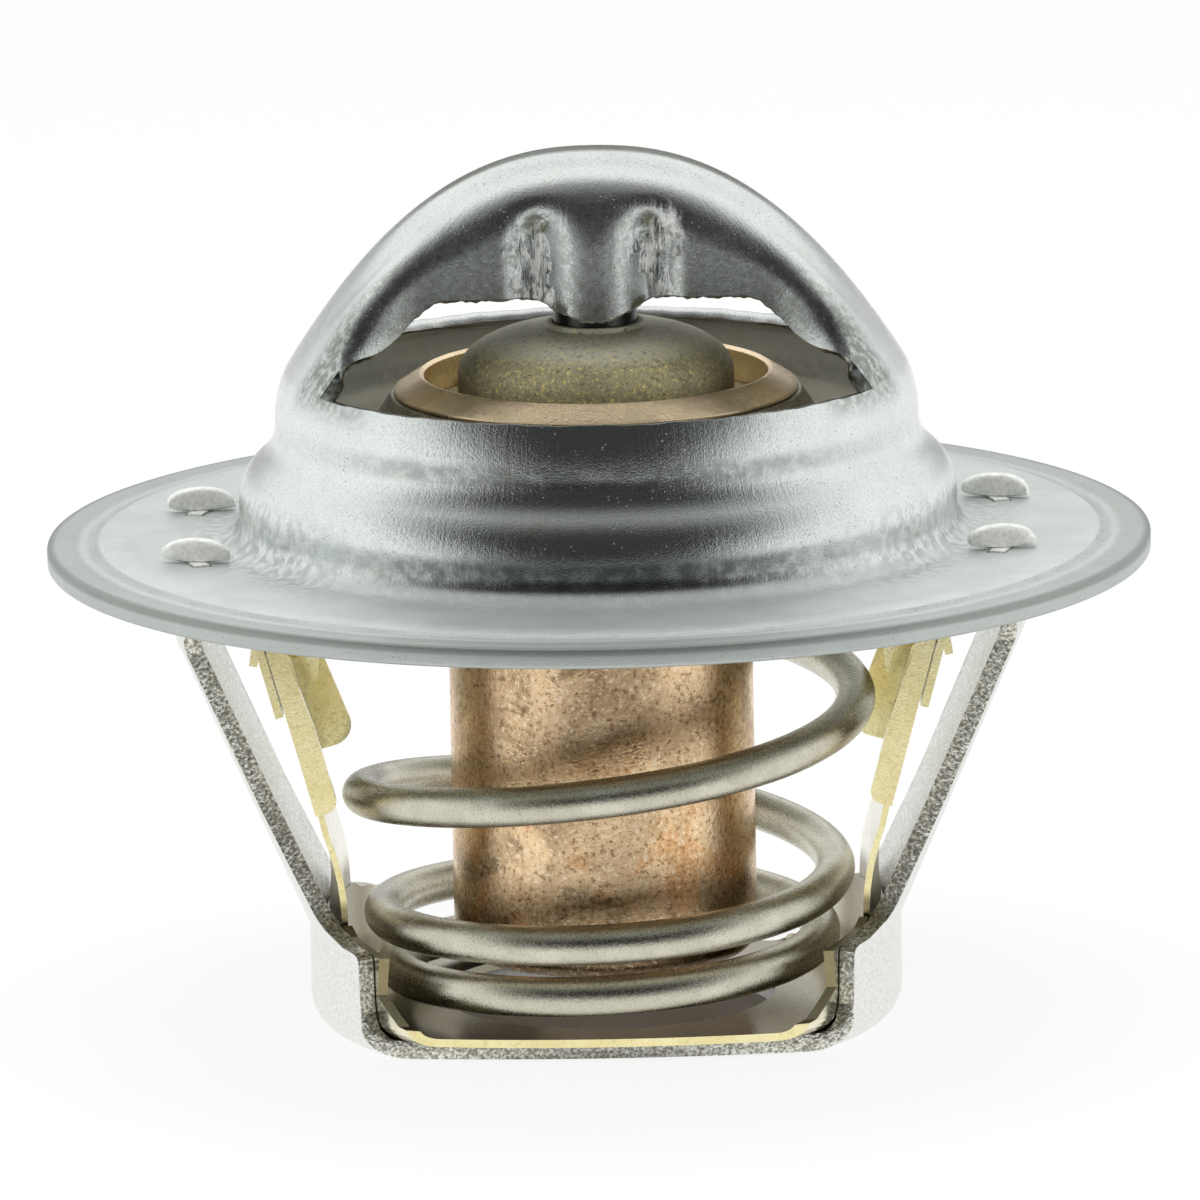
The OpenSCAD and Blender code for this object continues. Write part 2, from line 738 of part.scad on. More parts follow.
module boot() {
    bore_r = piston_r + boot_gap;
    color(rubber) turned([
        [0, boot_low],
        [bore_r + boot_wall, boot_low],
        [bore_r + boot_wall, guide_low - boot_flange_t],
        [mouth_r - nest_gap, guide_low - boot_flange_t],
        [mouth_r - nest_gap, guide_low],
        [bore_r, guide_low],
        [bore_r, boot_low + boot_end],
        [0, boot_low + boot_end]]);
}

module wax_charge() {
    inner_r = case_r - case_t - nest_gap;
    boot_r = piston_r + boot_gap + boot_wall + nest_gap;
    floor_z = case_z + case_t + nest_gap;
    color(wax) turned([
        [0, floor_z],
        [inner_r - case_corner, floor_z],
        [inner_r, floor_z + case_corner],
        [inner_r, guide_low - boot_flange_t - nest_gap],
        [boot_r, guide_low - boot_flange_t - nest_gap],
        [boot_r, boot_low - nest_gap],
        [0, boot_low - nest_gap]]);
}

housing();
stirrup();
locking_strap();
piston();
main_spring();
valve_disc();
element_case();
guide_dome();
boot();
back_up_ring();
wax_charge();
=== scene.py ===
"""Dresses an engine coolant thermostat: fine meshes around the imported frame, and their finishes."""

import math

import bmesh
import bpy
import numpy as np
from mathutils import Matrix, Vector


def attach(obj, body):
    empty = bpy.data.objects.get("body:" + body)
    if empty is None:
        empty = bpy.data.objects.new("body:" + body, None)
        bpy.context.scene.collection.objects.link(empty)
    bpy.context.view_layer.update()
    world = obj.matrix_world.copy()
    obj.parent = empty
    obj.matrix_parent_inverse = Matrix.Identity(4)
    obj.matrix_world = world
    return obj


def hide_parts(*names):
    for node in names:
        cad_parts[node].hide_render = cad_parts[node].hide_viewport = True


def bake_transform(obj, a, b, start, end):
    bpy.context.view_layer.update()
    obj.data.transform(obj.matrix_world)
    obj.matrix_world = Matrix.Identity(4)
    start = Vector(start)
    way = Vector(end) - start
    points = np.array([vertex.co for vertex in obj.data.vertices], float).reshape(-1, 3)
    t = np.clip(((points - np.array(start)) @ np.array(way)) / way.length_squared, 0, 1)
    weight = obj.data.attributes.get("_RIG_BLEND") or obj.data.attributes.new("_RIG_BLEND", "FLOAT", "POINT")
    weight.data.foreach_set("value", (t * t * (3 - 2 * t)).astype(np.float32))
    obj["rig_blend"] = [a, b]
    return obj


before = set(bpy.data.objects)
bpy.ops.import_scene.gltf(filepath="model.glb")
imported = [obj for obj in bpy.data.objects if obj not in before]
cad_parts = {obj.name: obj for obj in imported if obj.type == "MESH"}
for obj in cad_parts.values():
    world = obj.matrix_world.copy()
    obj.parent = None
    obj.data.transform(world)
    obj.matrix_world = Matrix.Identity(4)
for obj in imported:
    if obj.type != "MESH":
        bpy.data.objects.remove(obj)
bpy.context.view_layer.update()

MM = 0.001

# ---------------------------------------------------------------- sizes, in mm

FLANGE_R, SEAT_R, FLANGE_T, WALL_T = 27.0, 24.5, 1.0, 0.85
BAND_DROP, BAND_SLOPE, EDGE_ROUND = 0.15, 0.25, 0.2
COLLAR_R, RIM_R, RIM_H, RIM_LEAN, RIM_ROUND = 17.55, 15.2, 8.2, math.radians(25), 5.6
BASE_FILLET, SHOULDER_ROUND, SHOULDER_Z, NECK_FILLET = 1.2, 2.6, 1.9, 1.3
BRIDGE_H, CHEEK_Y, CHEEK_H = 19.05, 4.6, 12.4
FOOT_HALF_W, CROWN_DROP, CROWN_ROUND, ARCH_POWER = 7.2, 0.7, 2.3, 2.32
FLARE_X, FOOT_START, FOOT_END, FOOT_SLANT = 7.6, 9.6, 0.15, 0.12
WINDOW_X, WINDOW_FALL, WINDOW_DROP, EDGE_SHARE = 7.3, 3.8, 0.55, 0.55
COLUMN_DROP, COLUMN_HALF_W, COLUMN_BULGE, COLUMN_BULGE_W = 1.1, 4.0, 0.3, 1.5
PINCH_X, PINCH_HALF_W, PINCH_DEPTH, PINCH_TOP, PINCH_FADE = 2.75, 1.0, 1.3, 1.6, 2.5
CORNER_THIN, CORNER_X, CORNER_W = 0.5, 12.2, 1.4

PISTON_R, PISTON_L, TIP_L, TIP_R = 2.05, 26.0, 1.15, 0.9
CASE_R, CASE_Z, CASE_T, CASE_CORNER = 7.45, -21.0, 0.6, 1.0
MOUTH_R, SHOULDER_LOW, SHOULDER_HIGH = 8.4, 3.0, 4.0
LIP_R, LIP_EDGE, LIP_TOP_R, LIP_TOP_Z = 9.9, 0.15, 8.6, 8.0
GUIDE_R, GUIDE_SIDE, GUIDE_TOP, GUIDE_NECK_H = 6.75, 7.9, 10.2, 0.25
DISC_T, DISC_RING_Z, DISC_RING_W, DISC_SLOPE_END = 0.9, 7.0, 1.0, 12.2

STIRRUP_T, CUP_R, CUP_CORNER, BASE_Z = 0.85, 14.55, 1.6, -24.4
BASE_HALF_W, BASE_BOW_R, CORNER_HALF_W, CORNER_UP = 9.2, 75.0, 8.1, 5.0
LEG_W, LEG_LEAN, LEG_BEND, FOOT_BEND, ROOT_UP = 10.0, math.radians(23.4), 2.0, 1.2, 6.6
PRONG_Z, PRONG_HALF_W, NOTCH_R, NOTCH_Z, HOLE_R = -4.0, 7.5, 2.6, -1.0, 8.3
STRAP_T = 0.4
WIRE_D, SPRING_LOW_D, SPRING_TOP_D, SPRING_TURNS = 1.95, 22.6, 27.0, 4.45
SPRING_START, CLOSED_PITCH, ACTIVE_PITCH = -250.0, 2.75, 9.0
LOW_CLOSED, TOP_CLOSED, PITCH_BLEND, SPRING_WIDE, SPRING_FLARE = 1.35, 3.3, 0.62, 2.75, 1.6
TAB_R, TAB_ANGLE, TAB_W, TAB_L, TAB_H, TAB_TURN = 20.53, 17.5, 2.2, 3.4, 1.15, math.radians(80)

# Sheared edges: how far they bulge and how ragged they are, and the stirrup's bevel
EDGE_PUFF, RIM_PUFF, EDGE_RAG, EDGE_BEVEL = 0.16, 0.13, 0.09, 0.15

# ---------------------------------------------------------------- small maths


def ease(k):
    c = min(max(k, 0.0), 1.0)
    return c * c * (3 - 2 * c)


def mix(a, b, k):
    return a + (b - a) * k


def arc(c, r, a0, a1, n):
    """Points of an arc about c, angles in degrees."""
    out = []
    for i in range(n + 1):
        a = math.radians(mix(a0, a1, i / n))
        out.append((c[0] + r * math.cos(a), c[1] + r * math.sin(a)))
    return out


def left_of(p, i):
    """Mitred direction to the left of line p at point i."""
    n = len(p)
    d0 = np.subtract(p[min(i + 1, n - 1)], p[min(i, n - 2)])
    d1 = np.subtract(p[max(i, 1)], p[max(i - 1, 0)])
    a = np.array([-d0[1], d0[0]]) / np.linalg.norm(d0)
    b = np.array([-d1[1], d1[0]]) / np.linalg.norm(d1)
    m = a + b
    m /= np.linalg.norm(m)
    return m / (m @ a)


def sheet(p, t):
    """Outline of a sheet of thickness t (one value, or one per point) to the left of line p."""
    ts = t if isinstance(t, (list, tuple)) else [t] * len(p)
    back = [tuple(np.array(p[i]) + ts[i] * left_of(p, i)) for i in range(len(p) - 1, -1, -1)]
    return list(p) + back


def rounded(points, radius, steps=3, least=25):
    """A closed outline with its sharper corners rounded."""
    out, n = [], len(points)
    for i in range(n):
        p0, p1, p2 = (np.array(points[(i + k) % n], float) for k in (-1, 0, 1))
        a, b = p0 - p1, p2 - p1
        la, lb = np.linalg.norm(a), np.linalg.norm(b)
        if la < 1e-9 or lb < 1e-9:
            continue
        a, b = a / la, b / lb
        turn = math.degrees(math.acos(max(-1, min(1, -(a @ b)))))
        if turn < least:
            out.append(tuple(p1))
            continue
        half = math.radians(180 - turn) / 2
        back = min(radius / math.tan(half), 0.45 * la, 0.45 * lb)
        s, e = p1 + a * back, p1 + b * back
        for k in range(steps + 1):
            u = k / steps
            out.append(tuple((1 - u) ** 2 * s + 2 * u * (1 - u) * p1 + u * u * e))
    return out


def resampled(points, step):
    """An outline with its long straight edges divided."""
    out, n = [], len(points)
    for i in range(n):
        a, b = np.array(points[i], float), np.array(points[(i + 1) % n], float)
        k = max(1, int(math.ceil(np.linalg.norm(b - a) / step)))
        out += [tuple(a + (b - a) * j / k) for j in range(k)]
    return out


# ---------------------------------------------------------------- mesh building


def clean(mesh):
    bm = bmesh.new()
    bm.from_mesh(mesh)
    bmesh.ops.remove_doubles(bm, verts=bm.verts, dist=1e-7)
    bmesh.ops.recalc_face_normals(bm, faces=bm.faces)
    bm.to_mesh(mesh)
    bm.free()


def plain(name, verts, faces):
    """An object from points in metres."""
    mesh = bpy.data.meshes.new(name)
    mesh.from_pydata(verts, [], faces)
    obj = bpy.data.objects.new(name, mesh)
    bpy.context.collection.objects.link(obj)
    return obj


def loose(name, verts, faces):
    """An object from points in mm."""
    obj = plain(name, [tuple(np.array(v) * MM) for v in verts], faces)
    clean(obj.data)
    return obj


def finish_piece(obj, material, body, stands_for, sharp=35):
    """Cleans a mesh, shades it smooth and hands it to the frame; no material keeps what it has."""
    clean(obj.data)
    if material:
        obj.data.materials.clear()
        obj.data.materials.append(material)
    obj.data.polygons.foreach_set("use_smooth", [True] * len(obj.data.polygons))
    obj.data.set_sharp_from_angle(angle=math.radians(sharp))
    if body:
        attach(obj, body)
        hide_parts(*stands_for)
    return obj


def turned(points, segments=192):
    """Points and faces of a closed (r, z) outline turned about the axis. Points on the axis are shared."""
    verts, rows = [], []
    for r, z in points:
        if r < 1e-6:
            rows.append([len(verts)] * segments)
            verts.append((0, 0, z))
        else:
            rows.append(list(range(len(verts), len(verts) + segments)))
            for k in range(segments):
                a = 2 * math.pi * k / segments
                verts.append((r * math.cos(a), r * math.sin(a), z))
    faces, n = [], len(rows)
    for i in range(n):
        a, b = rows[i], rows[(i + 1) % n]
        if a[0] == a[1] and b[0] == b[1]:
            continue
        for k in range(segments):
            j = (k + 1) % segments
            f = [a[k], a[j], b[j], b[k]]
            f = [v for q, v in enumerate(f) if v != f[q - 1]]
            if len(f) > 2:
                faces.append(f)
    return verts, faces


def apply_modifiers(obj):
    dg = bpy.context.evaluated_depsgraph_get()
    mesh = bpy.data.meshes.new_from_object(obj.evaluated_get(dg))
    obj.modifiers.clear()
    obj.data = mesh


def combine(obj, other, how):
    """Cuts or adds another mesh; the faces that it leaves keep its own material."""
    m = obj.modifiers.new("b", "BOOLEAN")
    m.operation, m.object, m.solver, m.material_mode = how, other, "EXACT", "TRANSFER"
    apply_modifiers(obj)
    bpy.data.objects.remove(other)
    return obj


def box_mesh(lo, hi):
    v = [(x, y, z) for x in (lo[0], hi[0]) for y in (lo[1], hi[1]) for z in (lo[2], hi[2])]
    return v, [(0, 1, 3, 2), (4, 6, 7, 5), (0, 4, 5, 1), (2, 3, 7, 6), (0, 2, 6, 4), (1, 5, 7, 3)]


def prism(outline, lo, hi, axis):
    """A closed outline extruded along x, from its (y, z) points, or along z, from its (x, y) points."""
    place = (lambda p, h: (h, p[0], p[1])) if axis == "x" else (lambda p, h: (p[0], p[1], h))
    n = len(outline)
    verts = [place(p, lo) for p in outline] + [place(p, hi) for p in outline]
    faces = [(i, (i + 1) % n, n + (i + 1) % n, n + i) for i in range(n)]
    return verts, faces + [tuple(range(n))[::-1], tuple(range(n, 2 * n))]


def turn_z(verts, a):
    c, s = math.cos(a), math.sin(a)
    return [(x * c - y * s, x * s + y * c, z) for x, y, z in verts]


# ---------------------------------------------------------------- finishes


class Nodes:
    """A node tree built step by step. A value is a socket, a number or a colour."""

    def __init__(self, tree):
        self.nodes, self.links = tree.nodes, tree.links

    def put(self, socket, value):
        if isinstance(value, bpy.types.NodeSocket):
            self.links.new(value, socket)
        elif hasattr(value, "__len__") and len(value) == 3 and len(socket.default_value) == 4:
            socket.default_value = (*value, 1)
        else:
            socket.default_value = value

    def coords(self, kind):
        return self.nodes.new("ShaderNodeTexCoord").outputs[kind]

    def parts(self, vector):
        """The x, y and z of a vector."""
        n = self.nodes.new("ShaderNodeSeparateXYZ")
        self.put(n.inputs[0], vector)
        return n.outputs

    def math(self, op, a, b=0.0):
        n = self.nodes.new("ShaderNodeMath")
        n.operation = op
        self.put(n.inputs[0], a)
        self.put(n.inputs[1], b)
        return n.outputs[0]

    def times(self, a, b):
        return self.math("MULTIPLY", a, b)

    def across(self, x, y):
        """Length of the vector (x, y)."""
        return self.math("SQRT", self.math("ADD", self.times(x, x), self.times(y, y)))

    def ramp(self, value, lo, hi, a=0.0, b=1.0):
        """Goes smoothly from a at lo to b at hi."""
        n = self.nodes.new("ShaderNodeMapRange")
        n.interpolation_type = "SMOOTHSTEP"
        for s, v in zip(n.inputs, (value, lo, hi, a, b)):
            self.put(s, v)
        return n.outputs[0]

    def between(self, value, a, b, c, d):
        """One from b to c, nothing below a and above d."""
        return self.times(self.ramp(value, a, b), self.ramp(value, c, d, 1, 0))


class Finish(Nodes):
    """A surface's material. Places and sizes in its patterns are in mm."""

    def __init__(self, name, roughness=0.4, metallic=1.0):
        self.mat = bpy.data.materials.new(name)
        self.mat.use_nodes = True
        super().__init__(self.mat.node_tree)
        self.shader = self.nodes["Principled BSDF"]
        self.put(self.shader.inputs["Metallic"], metallic)
        self.put(self.shader.inputs["Roughness"], roughness)
        scale = self.nodes.new("ShaderNodeVectorMath")
        scale.operation = "SCALE"
        self.put(scale.inputs["Scale"], 1 / MM)
        self.put(scale.inputs[0], self.coords("Object"))
        self.at = scale.outputs[0]
        self.x, self.y, self.z = self.parts(self.at)
        self.wide, self.deep = self.math("ABSOLUTE", self.x), self.math("ABSOLUTE", self.y)
        self.facing = self.parts(self.coords("Normal"))
        self.height = self.base = None

    def radius(self):
        return self.across(self.x, self.y)

    def stretched(self, sx, sy, sz):
        n = self.nodes.new("ShaderNodeVectorMath")
        n.operation = "MULTIPLY"
        self.put(n.inputs[0], self.at)
        n.inputs[1].default_value = (sx, sy, sz)
        return n.outputs[0]

    def round_coords(self, around=1.0, up=1.0, out=1.0):
        """Coordinates that follow a turned piece: along its round, out and up."""
        n = self.nodes.new("ShaderNodeCombineXYZ")
        self.put(n.inputs[0], self.times(self.math("ARCTAN2", self.y, self.x), around))
        self.put(n.inputs[1], self.times(self.radius(), out))
        self.put(n.inputs[2], self.times(self.z, up))
        return n.outputs[0]

    def noise(self, scale, detail=3, rough=0.55, at=None, distort=0.0):
        n = self.nodes.new("ShaderNodeTexNoise")
        self.put(n.inputs["Vector"], at or self.at)
        values = {"Scale": scale, "Detail": detail, "Roughness": rough, "Distortion": distort}
        for name, value in values.items():
            n.inputs[name].default_value = value
        return n.outputs["Fac"]

    def cells(self, scale):
        n = self.nodes.new("ShaderNodeTexVoronoi")
        self.put(n.inputs["Vector"], self.at)
        n.inputs["Scale"].default_value = scale
        return n.outputs["Distance"]

    def blend(self, fac, a, b):
        n = self.nodes.new("ShaderNodeMix")
        n.data_type = "RGBA"
        self.put(n.inputs[0], fac)
        self.put(n.inputs[6], a)
        self.put(n.inputs[7], b)
        return n.outputs[2]

    def tint(self, share, r, g, b):
        """Lays a colour, written in 0-255, over the surface's colour."""
        self.base = self.blend(share, self.base, srgb(r, g, b))
        self.color(self.base)

    def color(self, value):
        self.base = value
        self.put(self.shader.inputs["Base Color"], value)

    def rough(self, value):
        self.put(self.shader.inputs["Roughness"], value)

    def metal(self, value):
        self.put(self.shader.inputs["Metallic"], value)

    def bump(self, value, depth_mm):
        n = self.nodes.new("ShaderNodeBump")
        n.inputs["Strength"].default_value = 1.0
        n.inputs["Distance"].default_value = depth_mm * MM
        self.put(n.inputs["Height"], value)
        if self.height:
            self.links.new(self.height, n.inputs["Normal"])
        self.height = n.outputs["Normal"]
        self.links.new(self.height, self.shader.inputs["Normal"])
        return self


def srgb(r, g, b):
    """A colour written in 0-255."""
    return tuple((c / 255 / 12.92) if c / 255 <= 0.04045 else ((c / 255 + 0.055) / 1.055) ** 2.4
                 for c in (r, g, b))


def zinc_finish():
    """Drawn sheet with a bright zinc skin: fine grain, pepper pits, draw lines and a few scuffs."""
    f = Finish("zinc")
    r = f.radius()
    grain = f.noise(9, 3, 0.6)
    fine = f.noise(30, 2, 0.6)
    cloud = f.noise(0.3, 3, 0.55)
    draw = f.noise(2.2, 4, 0.7, at=f.round_coords(34, 0.1, 0.16))
    pepper = f.times(f.ramp(f.cells(3.6), 0.05, 0.15, 1, 0), f.ramp(f.noise(0.7, 2), 0.5, 0.6))
    f.color(f.blend(f.ramp(cloud, 0.3, 0.7), srgb(226, 232, 230), srgb(236, 240, 237)))
    f.tint(f.ramp(grain, 0.42, 0.7, 0, 0.4), 188, 194, 192)
    stain = f.ramp(f.noise(0.5, 3, 0.6, distort=0.6), 0.62, 0.76, 0, 0.25)
    f.tint(stain, 214, 204, 176)
    # The cheeks are darker in speckled patches, and scraped bright beside the pinches
    cheek = f.times(f.ramp(f.z, 9.6, 11.6), f.ramp(f.deep, 3.9, 4.5))
    f.tint(f.times(cheek, f.ramp(f.noise(2.6, 4, 0.7), 0.35, 0.65, 0.0, 0.7)), 176, 179, 172)
    wide = f.wide
    wander = f.ramp(f.noise(0.6, 2), 0.3, 0.7, -0.5, 0.5)
    wide = f.math("ADD", wide, wander)
    scrape = f.between(wide, 1.9, 2.6, 3.2, 4.3)
    high = f.math("ADD", f.z, wander)
    scrape = f.times(scrape, f.between(high, 11.0, 13.0, 15.0, 17.0))
    streak = f.noise(2.4, 4, 0.7, at=f.stretched(1.5, 0.3, 0.3), distort=0.5)
    bright = f.times(scrape, f.ramp(streak, 0.46, 0.53))
    f.tint(bright, 255, 255, 252)
    f.tint(f.times(scrape, f.ramp(streak, 0.42, 0.37, 0, 0.8)), 60, 60, 58)
    # A darker line inside the rim band
    band = f.between(r, SEAT_R - 0.1, SEAT_R + 0.1, SEAT_R + 0.3, SEAT_R + 0.9)
    f.tint(f.times(band, f.ramp(grain, 0.2, 0.8, 0.35, 0.8)), 126, 130, 120)
    # Mottled metal where the wall rises from the flange
    root = f.between(r, 17.2, 17.8, 18.6, 21.5)
    root = f.times(root, f.ramp(f.wide, 12.0, 15.5, 0.2, 0.6))
    root = f.times(root, f.ramp(f.noise(2.0, 2, 0.5), 0.38, 0.62))
    f.tint(root, 128, 134, 128)
    # Painted dark reflection bands on the collar's foot and neck, in patches, strongest at the front and back
    low = f.between(f.z, 0.35, 0.9, 1.6, 2.2)
    mid = f.between(f.z, 5.0, 5.5, 5.9, 6.5)
    patches = f.ramp(f.noise(1.3, 3, 0.6), 0.3, 0.62, 0.35, 0.95)
    collar_dark_reflection = f.times(f.math("MAXIMUM", low, f.times(mid, 0.7)), patches)
    collar_dark_reflection = f.times(collar_dark_reflection, f.ramp(f.wide, 8.0, 14.0, 0.85, 0.15))
    f.tint(f.times(collar_dark_reflection, f.ramp(r, 14.4, 14.9)), 112, 116, 110)
    # Painted dark reflection, in speckled patches, on the feet beside the windows
    foot = f.times(f.ramp(f.wide, 10.4, 12.2), f.ramp(f.deep, 4.0, 5.6))
    foot = f.times(foot, f.between(f.z, 6.8, 8.6, 12.6, 15.0))
    f.tint(f.times(foot, f.ramp(f.noise(2.4, 2, 0.6), 0.35, 0.6, 0.4, 0.95)), 132, 137, 130)
    # A painted dark reflection along the crown, painted shade on the underside and a painted warm brown
    # reflection, in rings, inside the collar
    crown_dark_reflection = f.between(f.y, -1.0, -0.5, 1.5, 2.2)
    crown_dark_reflection = f.times(crown_dark_reflection, f.times(f.ramp(f.facing[2], 0.5, 0.9), f.ramp(f.z, 13.0, 18.0)))
    f.tint(f.times(crown_dark_reflection, 0.92), 88, 92, 78)
    # Painted shade on faces that look down, below the flange's top
    under = f.times(f.ramp(f.facing[2], -0.3, -0.8), f.ramp(f.z, 0.5, -0.5))
    f.tint(f.times(under, 0.9), 98, 97, 86)
    # Painted brown reflection on the collar's inner wall, in turned rings
    collar_inner_reflection = f.times(f.ramp(r, 14.4, 14.7, 1, 0), f.ramp(f.z, 8.0, 8.3, 1, 0))
    rings = f.noise(3, 3, 0.6, at=f.round_coords(1.4, 2.6, 2.6))
    f.tint(f.times(collar_inner_reflection, f.ramp(rings, 0.35, 0.65, 0.35, 0.95)), 104, 92, 76)
    # The flange is greyer, darkest at its edge
    f.tint(f.times(f.ramp(f.z, 0.8, 0.2), f.ramp(cloud, 0.35, 0.65, 0.35, 0.75)), 196, 203, 200)
    rim = f.times(f.ramp(r, FLANGE_R - 0.5, FLANGE_R - 0.15), f.ramp(f.z, -0.6, -0.4))
    f.tint(f.times(rim, 0.7), 104, 108, 102)
    lip = f.times(f.ramp(r, SEAT_R + 0.6, SEAT_R + 1.2), f.ramp(f.z, 0.2, -0.05))
    f.tint(f.times(lip, 0.5), 150, 155, 150)
    f.tint(f.times(pepper, 0.7), 74, 72, 68)
    flat = f.times(f.ramp(f.z, 0.7, 0.3), 0.22)
    f.metal(f.math("SUBTRACT", 1.0, f.math("MAXIMUM", f.times(flat, 1.2), f.times(bright, 0.6))))
    f.rough(f.math("ADD", f.ramp(grain, 0.3, 0.75, 0.15, 0.27), f.math("MAXIMUM", f.times(cheek, 0.1), flat)))
    f.bump(grain, 0.016).bump(fine, 0.007).bump(draw, 0.012)
    f.bump(f.times(pepper, -1.0), 0.03).bump(f.times(scrape, streak), 0.26)
    return f.mat


def steel_finish():
    """Rolled stainless skin with faint rolling lines."""
    f = Finish("stirrup_steel")
    grain = f.noise(6, 4, 0.6)
    lines = f.noise(5, 3, 0.6, at=f.stretched(1, 6, 0.35))
    specks = f.times(f.ramp(f.cells(3.2), 0.05, 0.12, 1, 0), f.ramp(f.noise(0.8, 2), 0.5, 0.6))
    f.color(f.blend(f.ramp(grain, 0.3, 0.7), srgb(242, 243, 239), srgb(226, 226, 220)))
    f.tint(f.ramp(lines, 0.55, 0.78, 0, 0.3), 176, 172, 156)
    f.tint(f.times(specks, 0.5), 110, 106, 98)
    f.rough(f.ramp(grain, 0.3, 0.7, 0.26, 0.42))
    f.bump(grain, 0.010).bump(lines, 0.006)
    return f.mat


def cut_finish():
    """Sheared edge: torn patches of dull and bright metal."""
    f = Finish("sheared_edge")
    tear = f.noise(6, 3, 0.6, distort=0.3)
    spots = f.cells(5)
    f.color(f.blend(f.ramp(tear, 0.38, 0.62), srgb(156, 154, 140), srgb(240, 239, 228)))
    f.tint(f.ramp(spots, 0.04, 0.16, 0.35, 0), 76, 74, 66)
    f.rough(f.ramp(tear, 0.3, 0.7, 0.45, 0.28))
    f.bump(tear, 0.06).bump(spots, 0.03)
    return f.mat


def gold_finish():
    """Thin spring strip with a yellow passivation: paler on its broad faces, brassy on its edges."""
    f = Finish("yellow_steel")
    grain = f.noise(8, 3, 0.6)
    cloud = f.noise(0.5, 3, 0.6)
    sideways = f.math("ABSOLUTE", f.facing[1])
    edge = f.ramp(sideways, 0.55, 0.85)
    pale = f.blend(f.ramp(cloud, 0.3, 0.7), srgb(238, 235, 214), srgb(244, 243, 230))
    rich = f.blend(f.ramp(cloud, 0.3, 0.7), srgb(247, 237, 186), srgb(237, 224, 166))
    f.color(f.blend(edge, pale, rich))
    # Painted shade inside the cup, on its faces below the rim and on its edges down the wall
    cup_face_shade = f.times(f.ramp(f.z, -16.8, -18.0), f.ramp(f.math("ABSOLUTE", f.facing[1]), 0.6, 0.4))
    cup_edge_shade = f.times(edge, f.times(f.ramp(f.z, -17.2, -18.0), f.ramp(f.z, -22.9, -22.5)))
    f.tint(f.times(f.math("MAXIMUM", cup_face_shade, cup_edge_shade), 0.85), 112, 102, 76)
    f.tint(f.ramp(f.noise(3.4, 3, 0.6), 0.5, 0.72, 0, 0.3), 186, 170, 112)
    f.rough(f.ramp(grain, 0.3, 0.7, 0.16, 0.26))
    f.bump(grain, 0.004)
    return f.mat


def wire_finish():
    """Drawn spring wire, olive grey with fine draw marks."""
    f = Finish("spring_wire")
    grain = f.noise(9, 3, 0.6)
    cloud = f.noise(0.5, 3, 0.6)
    draw = f.noise(14, 2, 0.5, at=f.round_coords(3, 6, 6))
    f.color(f.blend(f.ramp(cloud, 0.3, 0.7), srgb(216, 212, 196), srgb(198, 194, 176)))
    f.tint(f.ramp(grain, 0.52, 0.75, 0, 0.45), 146, 139, 118)
    f.tint(f.ramp(f.cells(4), 0.03, 0.1, 0.5, 0), 96, 90, 74)
    f.rough(f.ramp(grain, 0.3, 0.7, 0.18, 0.3))
    f.bump(grain, 0.012).bump(draw, 0.006)
    return f.mat


def copper_finish():
    """Drawn copper with handling stains, sparkle and vertical draw marks, darker towards its foot."""
    f = Finish("copper")
    grain = f.noise(8, 3, 0.6)
    cloud = f.noise(0.3, 4, 0.6, distort=0.8)
    patch = f.noise(0.17, 3, 0.55, distort=0.6)
    blot = f.noise(0.42, 4, 0.65, at=f.stretched(0.7, 0.7, 1.6), distort=0.8)
    marks = f.noise(4.5, 3, 0.6, at=f.round_coords(7.5, 0.25, 1))
    glint = f.times(f.ramp(f.cells(4.4), 0.06, 0.16, 1, 0), f.ramp(f.noise(1.1, 2), 0.46, 0.6))
    f.color(f.blend(f.ramp(cloud, 0.35, 0.65), srgb(250, 218, 174), srgb(228, 196, 154)))
    f.tint(f.ramp(patch, 0.48, 0.64, 0, 0.6), 166, 138, 104)
    f.tint(f.ramp(blot, 0.56, 0.7, 0, 0.6), 112, 90, 66)
    f.tint(f.ramp(f.z, -17.5, -20.8, 0, 0.7), 120, 96, 70)
    f.tint(f.ramp(marks, 0.58, 0.72, 0, 0.3), 120, 92, 66)
    warm = f.ramp(f.noise(0.35, 2, 0.5, distort=0.4), 0.55, 0.7, 0, 0.6)
    f.tint(f.times(warm, f.ramp(f.z, -8, -13)), 226, 166, 106)
    speck = f.noise(3.8, 3, 0.75)
    f.tint(f.ramp(speck, 0.54, 0.64, 0, 0.85), 255, 236, 204)
    f.tint(f.ramp(speck, 0.45, 0.36, 0, 0.7), 126, 96, 66)
    # Painted highlight on the case's top rim and lip
    f.tint(f.ramp(f.z, 6.4, 7.0, 0, 0.75), 255, 234, 196)
    f.tint(f.times(glint, 0.9), 255, 240, 214)
    f.rough(f.ramp(cloud, 0.3, 0.7, 0.22, 0.36))
    f.bump(grain, 0.018).bump(marks, 0.01).bump(speck, 0.014)
    return f.mat


